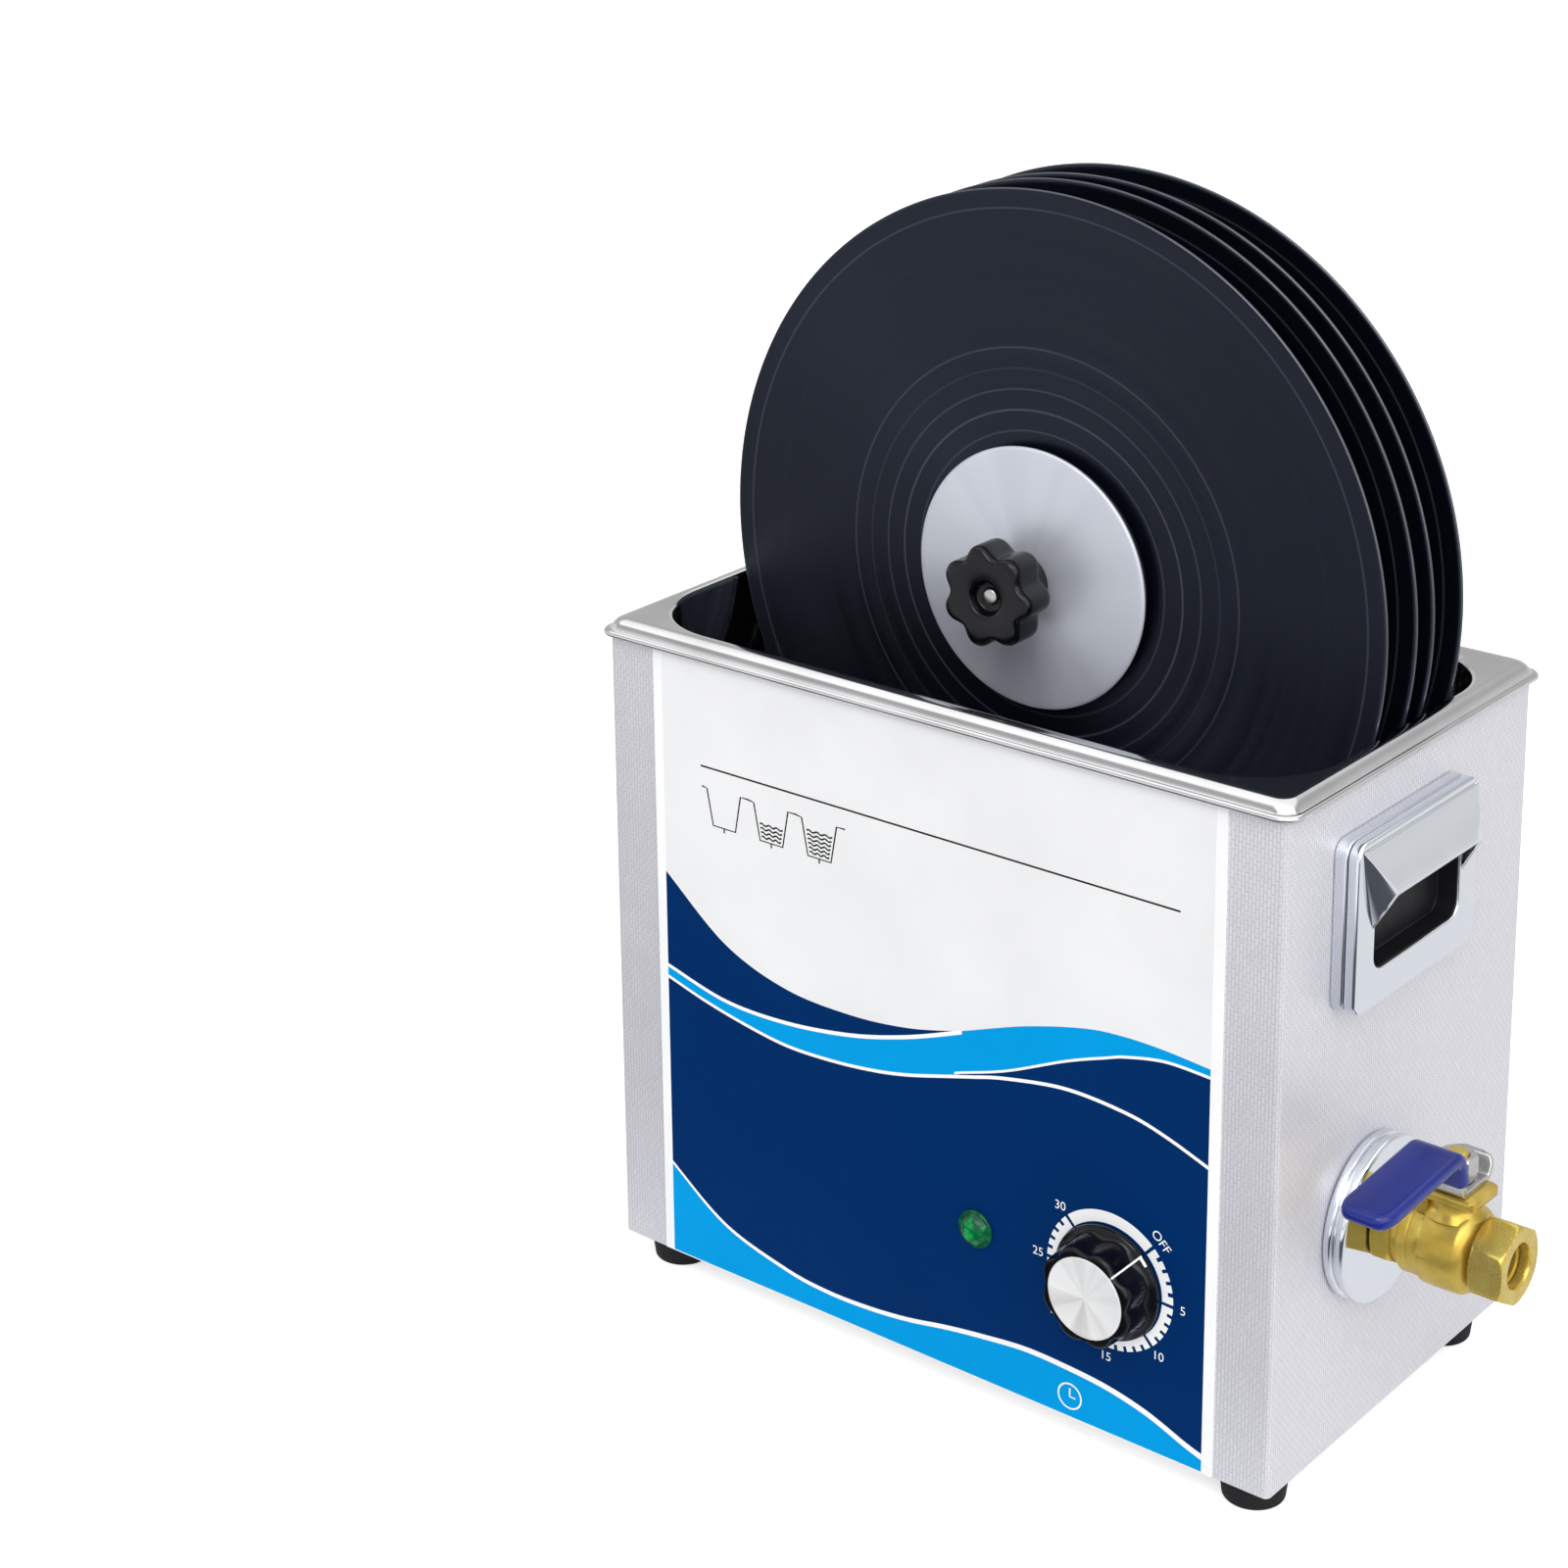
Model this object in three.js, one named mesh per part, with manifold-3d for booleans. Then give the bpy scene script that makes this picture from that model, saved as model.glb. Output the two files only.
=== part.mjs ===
// A benchtop ultrasonic record cleaning machine, standing on its feet.
// Millimetres, +Z up, the front panel faces -Y. The origin lies on the surface under the feet, at the
// middle of the whole machine seen from above, its valve, handles, knobs and motor counted. Sizes below
// are counted from the middle of the casing, and the last lines move the machine over the origin.

import * as THREE from "three";
import { mergeVertices } from "three/addons/utils/BufferGeometryUtils.js";
import Module from "manifold-3d";

const wasm = await Module();
wasm.setup();

// Clearances
const seat = 0.3; // left between a piece and what carries it
const running = 0.35; // round a shaft or stem that turns
const overrun = 6; // how far a cutter reaches past what it cuts

// A 12-inch record and how it hangs in the tank: these set the machine's length and height
const recordRadius = 150.8;
const spindleRise = 30; // above the rim
const recordEndGap = 2.2; // to the tank's ends, where the rim is
const recordFloorGap = 29.2;

// Casing, folded from stainless sheet
const caseDepth = 178;
const underTank = 123; // from the casing's lower edge to the tank's floor
const caseSheet = 1.2;
const bendRadius = 4;
const rearLip = 14;

// Base plate, a shallow tray inside the casing's lower edge
const trayHeight = 12;
const airSlotLength = 44;
const airSlotWidth = 3.4;
const airSlotPitch = 9;
const airSlotCount = 4;
const airSlotOffset = 62;

// Rubber feet
const footHeight = 13;
const footTopRadius = 13.5;
const footBottomRadius = 12;
const footEdge = 1.5;
const footRecessRadius = 6;
const footRecessDepth = 4;
const footInsetX = 16.5;
const footInsetY = 18;

// Printed film on the front
const filmSideMargin = 23.5;
const filmThickness = 0.6;
const filmGap = 0.1;
const filmMargin = 0.5;

// Tank, deep drawn, with a rolled rim that covers the casing's top edge
const rimHeight = 7;
const rimOverhang = 4;
const rimRoll = 3.6;
const rimHem = 1.6;
const tankSheet = 1;
const tankEndGap = 6.5; // between the tank's mouth and the casing's face
const tankSideGap = 8;
const tankCornerRadius = 38;
const tankDraft = 3;
const mouthRadius = 2.5;
const floorRadius = 12;
const drainHoleRadius = 7.5;
const drainInset = 38.5; // from the casing's side to the hole's middle

// Side handles: a backing frame, a cover plate and a hood over the finger recess
const handleLength = 88;
const handleTall = 66;
const handleRadius = 6;
const backingThickness = 5;
const backingFloor = 1;
const coverThickness = 4.7;
const recessLength = 62;
const recessLow = -19;
const recessHigh = 24;
const recessRadius = 6;
const hoodReach = 8.5;
const hoodSheet = 1.5;
const hoodLipHeight = 13;
const hoodLipLength = 61;
const hoodTopInset = 1.5;
const hoodSteps = 5;
const hoodClosedShare = 0.3; // of its slope that stays solid at the top
const handleY = -13;
const handleDrop = 58; // from the rim's top to its middle

// Drain, along +X from the right side of the casing
const drainY = -25;
const drainDrop = 34; // from the tank's floor to the pipe's axis
const pipeRadius = 10;
const pipeBore = 7.5;
const elbowRadius = 18;
const elbowFlangeRadius = 16;
const elbowFlangeThickness = 2.5;
const pipeReach = 16; // beyond the casing's side
const escutcheonRadius = 32;
const escutcheonThickness = 9;
const escutcheonGroove = 1.6;
const escutcheonEdge = 1.2;

// Ball valve, from the escutcheon outwards; the front of the body is counted from the stem
const inletHexFlats = 27;
const inletHexLength = 8;
const barrelNeckRadius = 13;
const barrelNeckLength = 3;
const barrelRadius = 15.2;
const barrelLength = 20;
const bodyRadius = 16.6;
const valveBore = 7;
const ballRadius = 10.5;
const shoulderWall = 1.15; // beyond the ball
const shoulderSlope = 4;
const spigotWall = 3.8;
const spigotInNut = 9;
const stemPlace = 27;
const bossRadius = 9;
const bossHeight = 21;
const stopPlateLength = 25;
const stopPlateWidth = 20;
const stopPlateThickness = 3;
const stemRadius = 4;
const stemTop = 39;
const unionFlats = 28;
const unionLength = 13.5;
const unionGap = 1; // to the body's shoulder
const unionLip = 3;
const chamfer = 1;

// Valve lever: a bent steel strip in a dipped vinyl grip, heights counted from the pipe's axis
const leverThickness = 2.5;
const leverWidth = 17;
const leverNutClear = 1.5; // from the nut's corners to where the strip bends
const leverRise = 18;
const leverRiseRun = 6;
const leverTab = 8;
const leverTabRun = 4;
const leverLength = 68;
const leverDrop = 3;
const gripSkin = 1.75;
const gripSide = 2;
const gripEnd = 2.2; // vinyl beyond the strip's tip
const gripStartShare = 0.3; // of the rise that the vinyl leaves bare
const leverNutFlats = 13;
const leverNutHeight = 9.5;

// Minute timer
const dialInset = 69.5; // from the casing's right side
const dialZ = 78;
const timerBox = 44;
const timerDepth = 27;
const bushingRadius = 4.8;
const bushingReach = 1.6;
const shaftRadius = 3;
const shaftBack = 20;
const knobLift = 0.8;
const knobHeight = 16;
const capRadius = 16.2;
const capThickness = 1;
const capBorder = 2.7;
const gripFlare = 1.5;
const gripFluteDepth = 0.9;
const gripFlutes = 8;
const skirtBorder = 2.4;
const skirtEdge = 2;
const skirtShoulder = 5;
const knobWall = 2.4;
const knobCavityDepth = 9;
const knobHubRadius = 6.5;
const knobHubLift = 2;
const pointerWidth = 1;
const pointerHeight = 0.6;
const pointerDegrees = 46; // above +X, where OFF stands on the dial

// Indicator lamp
const lampToDial = 61;
const lampZ = 78;
const lensRadius = 7.8;
const lensRim = 1.2;
const lensHeight = 5;
const lampBodyRadius = 5.6;
const lampBodyDepth = 22;

// Rear: fan, mains inlet and rocker switch
const fanInset = 80.5; // from the casing's right side
const fanZ = 76;
const fanSize = 60;
const fanDepth = 15;
const fanWall = 2;
const fanHubRadius = 12.5;
const fanHubDepth = 10;
const fanFloor = 1.6;
const fanStrut = 3.4;
const fanBlades = 7;
const fanTipGap = 1;
const fanBladeThickness = 1.2;
const fanBladeWidth = 9;
const fanBladePitch = 38;
const grilleSlot = 3.4;
const grillePitch = 7.4;
const grilleCount = 7;
const inletInset = 60.5; // from the casing's left side
const inletZ = 52;
const inletFlangeLength = 50;
const inletFlangeTall = 27;
const inletFlangeThickness = 2.4;
const inletBodyLength = 30;
const inletBodyTall = 22;
const inletBodyDepth = 20;
const inletWall = 2.7;
const inletCavityDepth = 16;
const inletPinLength = 4;
const inletPinWidth = 2;
const inletPinReach = 9;
const inletPinPitch = 7;
const inletPinDrop = 2;
const switchRise = 40; // above the inlet
const switchBezelLength = 26;
const switchBezelTall = 20;
const switchBezelThickness = 2;
const switchBodyLength = 22;
const switchBodyTall = 15;
const switchBodyDepth = 16;
const switchWall = 1.6;
const switchWellDepth = 9;
const rockerTilt = 9;
const rockerGap = 1.4;
const rockerPivotDepth = 3;
const rockerThickness = 5;

// Transducers under the tank floor
const transducerPitch = 98;
const transducerShift = 43; // towards the left, away from the drain
const transducerY = 12;
const hornMouthRadius = 29.5;
const hornNeckRadius = 19.5;
const hornRim = 3;
const hornHeight = 32;
const hornWaistShare = 0.45; // how far down it is halfway between its radii
const ceramicRadius = 19;
const ceramicBore = 7.5;
const ceramicThickness = 5;
const electrodeThickness = 0.6;
const electrodeTab = 11;
const electrodeTabWidth = 6;
const electrodeEyeRadius = 1.6;
const backRadius = 19.5;
const backHeight = 17;
const backChamfer = 2.5;
const boltHeadRadius = 6;
const boltHeadHeight = 7;

// Generator board on the base plate
const boardLength = 118;
const boardDepth = 64;
const boardThickness = 1.6;
const boardEndGap = 25.5; // to the casing's left side
const boardFrontGap = 19; // to the casing's front
const standoffHeight = 8;
const standoffRadius = 3;
const standoffInset = 6;
const coilRadius = 13;
const coilTube = 5;
const capacitorRadius = 9;
const capacitorHeight = 22;
const terminalLength = 24;
const terminalDepth = 8;
const terminalHeight = 10;
const sinkLength = 70;
const sinkBase = 3;
const sinkHeight = 26;
const sinkDepth = 20;
const sinkFins = 8;
const sinkFinThickness = 1.5;
const sinkGap = 8; // to the board
const sinkFrontGap = 33; // to the casing's front

// Records and what clamps them on the spindle
const recordThickness = 2;
const recordBead = 1.4;
const recordBore = 3.62;
const spindleGap = 0.22; // between the spindle and a record's hole
const wideSpacer = 19.5;
const narrowSpacer = 10.5;
const spacerFlangeRadius = 50;
const spacerFlange = 2;
const spacerCoreRadius = 12;
const clampRadius = 52.2;
const clampThickness = 2;
const clampDome = 3;
const sealRadius = 50;
const sealThickness = 4;
const rearPlateThickness = 6;
const rearBossRadius = 12;
const rearBossLength = 9;
const clampKnobRadius = 20.4;
const clampKnobValley = 3.6;
const clampKnobLobes = 7;
const clampKnobDepth = 17;
const clampKnobCollarRadius = 11;
const clampKnobCollar = 9.5;
const clampKnobRound = 2.2;
const clampKnobDish = 3.5;
const clampKnobDishRadius = 13.5;
const clampKnobMouthRadius = 6;
const clampKnobMouthDepth = 5;
const spindleTipInset = 3.5;

// Rack bracket on the rear rim, motor and coupler
const bracketSheet = 2;
const bracketWidth = 70;
const bracketTopRadius = 24;
const bracketFootInset = 6.5; // in from the rim's outer edge to the upright's rear face
const bracketHook = 18;
const bracketHookGap = 0.6;
const bracketGusset = 9;
const motorFaceRadius = 18.5;
const gearboxLength = 21;
const motorRadius = 14;
const motorLength = 31;
const motorBossRadius = 8;
const motorBossLength = 3;
const motorShaftRadius = 3;
const motorShaftLength = 14;
const couplerRadius = 8;
const couplerGap = 2.6; // to the motor's boss
const couplerOverlap = 9;
const bossGap = 2.9; // from the coupler to the rear clamp plate

// Facets
const roundSides = 24;
const fineSides = 44;
const plateSides = 32;
const smallSides = 16;
const cornerSteps = 4;
const bendSteps = 2;
const slotSteps = 1;
const hiddenSides = 12;
const elbowSteps = 7;
const weldTolerance = 1e-4;

// Sizes and places that follow from the ones above
const recordDip = recordRadius - spindleRise;
const recordHalfChord = Math.sqrt(recordRadius ** 2 - spindleRise ** 2);
const tankLength = 2 * (recordHalfChord + recordEndGap);
const tankWidth = caseDepth - 2 * tankSideGap;
const tankFloor = footHeight + underTank;
const rimTop = tankFloor + recordDip + recordFloorGap;
const caseLength = tankLength + 2 * tankEndGap;
const caseHeight = rimTop - rimHeight - footHeight; // as seen below the rim
const wrapTop = rimTop - tankSheet - seat;
const sideX = caseLength / 2;
const frontY = -caseDepth / 2;
const rimX = sideX + rimOverhang;
const rimY = caseDepth / 2 + rimOverhang;
const rimCornerRadius = bendRadius + rimOverhang;
const rearPanelFace = caseDepth / 2 - caseSheet - seat;
const filmFace = filmGap + filmThickness;
const spindleZ = rimTop + spindleRise;
const handleZ = rimTop - handleDrop;
const drainZ = tankFloor - drainDrop;
const drainHoleX = sideX - drainInset;
const dialX = sideX - dialInset;
const lampX = dialX - lampToDial;
const fanX = sideX - fanInset;
const inletX = inletInset - sideX;
const switchX = inletX;
const chamberRadius = ballRadius + running;
const shoulderFront = chamberRadius + shoulderWall;
const bodyFront = shoulderFront - shoulderSlope;
const spigotRadius = valveBore + spigotWall;
const leverFlat = leverNutFlats / 2 / Math.cos(Math.PI / 6) + leverNutClear;
const spindleRadius = recordBore - spindleGap;
const switchZ = inletZ + switchRise;

const xAxis = new THREE.Vector3(1, 0, 0);
const yAxis = new THREE.Vector3(0, 1, 0);
const zAxis = new THREE.Vector3(0, 0, 1);

// Rotations of the groups whose own +Z points out of one side of the casing
const facingRight = new THREE.Matrix4().makeBasis(yAxis, zAxis, xAxis);
const facingLeft = new THREE.Matrix4().makeBasis(yAxis.clone().negate(), zAxis, xAxis.clone().negate());
const facingFront = new THREE.Matrix4().makeBasis(xAxis, zAxis, yAxis.clone().negate());
const facingRear = new THREE.Matrix4().makeBasis(xAxis.clone().negate(), zAxis, yAxis);

const looks = {
  stainless: { color: 0xc9c9cc, roughness: 0.42, metalness: 0.9 },
  polished: { color: 0xdcdcde, roughness: 0.16, metalness: 1 },
  film: { color: 0xf0f0f0, roughness: 0.4, metalness: 0 },
  rubber: { color: 0x1b1b1d, roughness: 0.85, metalness: 0 },
  brass: { color: 0xb9963c, roughness: 0.35, metalness: 0.9 },
  vinylGrip: { color: 0x2d3796, roughness: 0.3, metalness: 0 },
  steel: { color: 0xb4b4b2, roughness: 0.35, metalness: 1 },
  aluminium: { color: 0xbfc1c6, roughness: 0.4, metalness: 0.9 },
  blackPlastic: { color: 0x141416, roughness: 0.3, metalness: 0 },
  greenLens: { color: 0x0c9a4a, roughness: 0.15, metalness: 0 },
  record: { color: 0x15171e, roughness: 0.25, metalness: 0 },
  ceramic: { color: 0x222222, roughness: 0.6, metalness: 0 },
  board: { color: 0x1f5a38, roughness: 0.5, metalness: 0 },
};

// Turns a geometry into one welded, outward-facing closed mesh
function weld(geometry) {
  const bare = geometry.clone();
  bare.deleteAttribute("normal");
  bare.deleteAttribute("uv");
  const merged = mergeVertices(bare, weldTolerance);
  const index = merged.index.array;
  const corner = (i) => new THREE.Vector3().fromBufferAttribute(merged.attributes.position, i);
  const kept = [];
  let volume = 0;
  for (let i = 0; i < index.length; i += 3) {
    const [a, b, c] = [index[i], index[i + 1], index[i + 2]];
    if (a === b || b === c || c === a) continue;
    kept.push([a, b, c]);
    volume += corner(a).dot(corner(b).cross(corner(c)));
  }
  if (volume < 0) kept.forEach((face) => face.reverse());
  merged.setIndex(kept.flat());
  return merged;
}

function toSolid(geometry) {
  const welded = weld(geometry);
  return new wasm.Manifold(
    new wasm.Mesh({
      numProp: 3,
      vertProperties: new Float32Array(welded.attributes.position.array),
      triVerts: new Uint32Array(welded.index.array),
    }),
  );
}

function fromSolid(solid) {
  const { vertProperties, triVerts } = solid.getMesh();
  const geometry = new THREE.BufferGeometry();
  geometry.setAttribute("position", new THREE.BufferAttribute(new Float32Array(vertProperties), 3));
  geometry.setIndex(new THREE.BufferAttribute(new Uint32Array(triVerts), 1));
  return geometry;
}

function join(first, ...others) {
  return fromSolid(others.reduce((sum, other) => sum.add(toSolid(other)), toSolid(first)));
}

function cut(first, ...cutters) {
  return fromSolid(cutters.reduce((left, cutter) => left.subtract(toSolid(cutter)), toSolid(first)));
}

function common(first, second) {
  return fromSolid(toSolid(first).intersect(toSolid(second)));
}

function piece(name, look, geometry) {
  const shaped = weld(geometry);
  shaped.computeVertexNormals();
  const mesh = new THREE.Mesh(shaped, new THREE.MeshStandardMaterial(looks[look]));
  mesh.name = name;
  return mesh;
}

function group(rotation, place, ...children) {
  const made = new THREE.Group();
  if (rotation) made.quaternion.setFromRotationMatrix(rotation);
  made.position.set(...place);
  made.add(...children);
  return made;
}

// A box between two opposite corners
function block(low, high) {
  const [x, y, z] = high.map((value, i) => value - low[i]);
  return new THREE.BoxGeometry(x, y, z).translate(low[0] + x / 2, low[1] + y / 2, low[2] + z / 2);
}

// A round bar on the Z axis between two heights
function bar(radius, low, high, sides = roundSides, topRadius = radius) {
  return new THREE.CylinderGeometry(topRadius, radius, high - low, sides)
    .rotateX(Math.PI / 2)
    .translate(0, 0, (low + high) / 2);
}

// A hexagon on the Z axis, given across its flats
function hexagon(flats, low, high) {
  return bar(flats / 2 / Math.cos(Math.PI / 6), low, high, 6).rotateZ(Math.PI / 6);
}

// A hexagon with its corners chamfered at both ends, as a nut has
function nut(flats, low, high, sides = roundSides) {
  const corner = flats / 2 / Math.cos(Math.PI / 6);
  const chamfered = turned(
    [
      [0, low],
      [flats / 2, low],
      [corner, low + chamfer],
      [corner, high - chamfer],
      [flats / 2, high],
      [0, high],
    ],
    sides,
  );
  return common(hexagon(flats, low, high), chamfered);
}

// A profile of [radius, height] pairs turned about the Z axis
function turned(profile, sides = roundSides) {
  const points = profile.map(([radius, height]) => new THREE.Vector2(radius, height));
  return new THREE.LatheGeometry(points, sides).rotateX(Math.PI / 2);
}

function roundedRectangle(length, width, radius, centreX = 0, centreY = 0) {
  const [x, y] = [length / 2 - radius, width / 2 - radius];
  const shape = new THREE.Shape();
  shape.absarc(centreX + x, centreY + y, radius, 0, Math.PI / 2);
  shape.absarc(centreX - x, centreY + y, radius, Math.PI / 2, Math.PI);
  shape.absarc(centreX - x, centreY - y, radius, Math.PI, Math.PI * 1.5);
  shape.absarc(centreX + x, centreY - y, radius, Math.PI * 1.5, Math.PI * 2);
  shape.closePath();
  return shape;
}

// A flat outline given thickness between two heights
function plate(shape, low, high, steps = cornerSteps) {
  return new THREE.ExtrudeGeometry(shape, {
    depth: high - low,
    bevelEnabled: false,
    curveSegments: steps,
  }).translate(0, 0, low);
}

// A slot with round ends, drawn flat, as a cutter
function slot(length, width, low, high) {
  return plate(roundedRectangle(length, width, width / 2), low, high, slotSteps);
}

// Points of a rounded rectangle at one height, anticlockwise
function rectangleLoop(halfX, halfY, radius, height, steps = cornerSteps) {
  const points = [];
  for (let corner = 0; corner < 4; corner++) {
    const signX = corner === 0 || corner === 3 ? 1 : -1;
    const signY = corner < 2 ? 1 : -1;
    for (let i = 0; i <= steps; i++) {
      const angle = ((corner + i / steps) * Math.PI) / 2;
      points.push([
        signX * (halfX - radius) + radius * Math.cos(angle),
        signY * (halfY - radius) + radius * Math.sin(angle),
        height,
      ]);
    }
  }
  return points;
}

// Points of a lobed outline at one height
function lobedLoop(radius, depth, lobes, height, steps) {
  const points = [];
  for (let i = 0; i < lobes * steps; i++) {
    const angle = (i / (lobes * steps)) * Math.PI * 2;
    const reach = radius - (depth * (1 - Math.cos(lobes * angle))) / 2;
    points.push([reach * Math.cos(angle), reach * Math.sin(angle), height]);
  }
  return points;
}

// A closed body through outlines with equal numbers of points, capped at both ends
function loft(loops) {
  const count = loops[0].length;
  const points = loops.flat();
  const faces = [];
  for (let level = 0; level + 1 < loops.length; level++) {
    for (let i = 0; i < count; i++) {
      const a = level * count + i;
      const b = level * count + ((i + 1) % count);
      faces.push(a, b, b + count, a, b + count, a + count);
    }
  }
  for (const level of [0, loops.length - 1]) {
    const centre = points.length;
    const mean = [0, 1, 2].map((k) => loops[level].reduce((sum, p) => sum + p[k], 0) / count);
    points.push(mean);
    for (let i = 0; i < count; i++) {
      const a = level * count + i;
      const b = level * count + ((i + 1) % count);
      faces.push(...(level === 0 ? [centre, b, a] : [centre, a, b]));
    }
  }
  const geometry = new THREE.BufferGeometry();
  geometry.setAttribute("position", new THREE.Float32BufferAttribute(points.flat(), 3));
  geometry.setIndex(faces);
  return geometry;
}

// A bent strip of even thickness along [across, up] points, as wide as given, centred on its width
function strip(points, thickness, width) {
  const line = points.map(([across, up]) => new THREE.Vector2(across, up));
  const sides = [[], []];
  line.forEach((point, i) => {
    const before = line[i].clone().sub(line[Math.max(i - 1, 0)]).normalize();
    const after = line[Math.min(i + 1, line.length - 1)].clone().sub(line[i]).normalize();
    const along = before.clone().add(after).normalize();
    const normal = new THREE.Vector2(-along.y, along.x);
    const stretch = i > 0 && i + 1 < line.length ? Math.sqrt((1 + before.dot(after)) / 2) : 1;
    const offset = normal.multiplyScalar(thickness / 2 / stretch);
    sides[0].push(point.clone().add(offset));
    sides[1].unshift(point.clone().sub(offset));
  });
  const shape = new THREE.Shape(sides.flat());
  return plate(shape, -width / 2, width / 2);
}

// Casing and what stands under it

function outerCasing() {
  const outline = roundedRectangle(caseLength, caseDepth, bendRadius);
  const inner = 2 * caseSheet;
  outline.holes.push(roundedRectangle(caseLength - inner, caseDepth - inner, bendRadius - caseSheet));
  const rearWindow = block(
    [rearLip - sideX, 0, footHeight - overrun],
    [sideX - rearLip, caseDepth / 2 + overrun, wrapTop + overrun],
  );
  const bushingHole = bar(bushingRadius + running, 0, overrun + caseDepth / 2, smallSides)
    .applyMatrix4(facingFront)
    .translate(dialX, 0, dialZ);
  const lampHole = bar(lampBodyRadius + seat, 0, overrun + caseDepth / 2, smallSides)
    .applyMatrix4(facingFront)
    .translate(lampX, 0, lampZ);
  const drainOpening = bar(pipeRadius + 2 * seat, 0, overrun + sideX, hiddenSides)
    .applyMatrix4(facingRight)
    .translate(0, drainY, drainZ);
  return piece(
    "outer_casing",
    "stainless",
    cut(plate(outline, footHeight, wrapTop, bendSteps), rearWindow, bushingHole, lampHole, drainOpening),
  );
}

function basePlate() {
  const halfX = sideX - caseSheet - seat;
  const low = frontY + caseSheet + seat;
  const high = rearPanelFace - caseSheet - seat;
  const halfY = (high - low) / 2;
  const radius = bendRadius - caseSheet;
  const ring = (inset, height) =>
    rectangleLoop(halfX - inset, halfY - inset, radius - inset, height, bendSteps);
  const tray = loft([
    ring(0, footHeight),
    ring(0, footHeight + trayHeight),
    ring(caseSheet, footHeight + trayHeight),
    ring(caseSheet, footHeight + caseSheet),
  ]).translate(0, (low + high) / 2, 0);
  const slots = [];
  for (const side of [-1, 1]) {
    for (let i = 0; i < airSlotCount; i++) {
      slots.push(
        slot(airSlotLength, airSlotWidth, footHeight - overrun, footHeight + caseSheet + overrun).translate(
          side * airSlotOffset,
          (i - (airSlotCount - 1) / 2) * airSlotPitch,
          0,
        ),
      );
    }
  }
  return piece("base_plate", "stainless", cut(tray, ...slots));
}

function foot(name, signX, signY) {
  const mesh = piece(
    name,
    "rubber",
    turned(
      [
        [0, footRecessDepth],
        [footRecessRadius, footRecessDepth],
        [footRecessRadius, 0],
        [footBottomRadius - footEdge, 0],
        [footBottomRadius, footEdge],
        [footTopRadius, footHeight - seat],
        [0, footHeight - seat],
      ],
      smallSides,
    ),
  );
  mesh.position.set(signX * (sideX - footInsetX), signY * (caseDepth / 2 - footInsetY), 0);
  return mesh;
}

function frontPanel() {
  const low = footHeight + filmMargin;
  const high = footHeight + caseHeight - filmMargin;
  const half = sideX - filmSideMargin;
  const sheet = block([-half, low, filmGap], [half, high, filmFace]);
  const bushingHole = bar(bushingRadius + running, -overrun, overrun, smallSides).translate(dialX, dialZ, 0);
  const lampHole = bar(lampBodyRadius + seat, -overrun, overrun, smallSides).translate(lampX, lampZ, 0);
  return group(facingFront, [0, frontY, 0], piece("front_panel", "film", cut(sheet, bushingHole, lampHole)));
}

// Tank: outside of the floor and walls, under the rim, round its rolled edge, over its top, down inside

function tank() {
  const wallX = tankLength / 2;
  const wallY = tankWidth / 2;
  const level = (halfX, halfY, radius, height) => rectangleLoop(halfX, halfY, radius, height);
  const shrink = (inset, height, thickness) =>
    level(wallX - inset + thickness, wallY - inset + thickness, tankCornerRadius - inset + thickness, height);
  const grow = (outward, height) =>
    level(wallX + outward, wallY + outward, tankCornerRadius + outward, height);
  const edge = (inset, height) =>
    level(rimX - inset, rimY - inset, Math.max(rimCornerRadius - inset, tankSheet), height);
  const bowl = (thickness) => {
    const loops = [];
    const arcSteps = 3;
    for (let i = 0; i <= arcSteps; i++) {
      const angle = (i / arcSteps) * (Math.PI / 2);
      const inset = tankDraft + floorRadius * (1 - Math.sin(angle));
      const height = tankFloor + floorRadius - (floorRadius + thickness) * Math.cos(angle);
      loops.push(shrink(inset, height, thickness * Math.sin(angle)));
    }
    return loops;
  };
  const half = Math.SQRT1_2;
  const underside = rimTop - tankSheet;
  const hemTop = rimTop - rimHeight + rimHem;
  const outside = bowl(tankSheet);
  const inside = bowl(0).reverse();
  const loops = [
    ...outside,
    grow(tankSheet, rimTop - mouthRadius),
    grow(mouthRadius, underside),
    edge(rimRoll, underside),
    edge(rimRoll - (rimRoll - tankSheet) * half, rimTop - rimRoll + (rimRoll - tankSheet) * half),
    edge(tankSheet, rimTop - rimRoll),
    edge(tankSheet, hemTop),
    edge(tankSheet + rimHem / 2, hemTop),
    edge(tankSheet + rimHem / 2, rimTop - rimHeight),
    edge(rimHem / 2, rimTop - rimHeight),
    edge(0, rimTop - rimHeight + rimHem / 2),
    edge(0, rimTop - rimRoll),
    edge(rimRoll - rimRoll * half, rimTop - rimRoll + rimRoll * half),
    edge(rimRoll, rimTop),
    grow(mouthRadius, rimTop),
    grow(mouthRadius - mouthRadius * half, rimTop - mouthRadius + mouthRadius * half),
    grow(0, rimTop - mouthRadius),
    ...inside,
  ];
  const drainHole = bar(drainHoleRadius, tankFloor - overrun, tankFloor + overrun, hiddenSides).translate(
    drainHoleX,
    drainY,
    0,
  );
  return piece("tank", "polished", cut(loft(loops), drainHole));
}

// Side handle, drawn with X across, Y up and Z out of the casing's side

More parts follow.
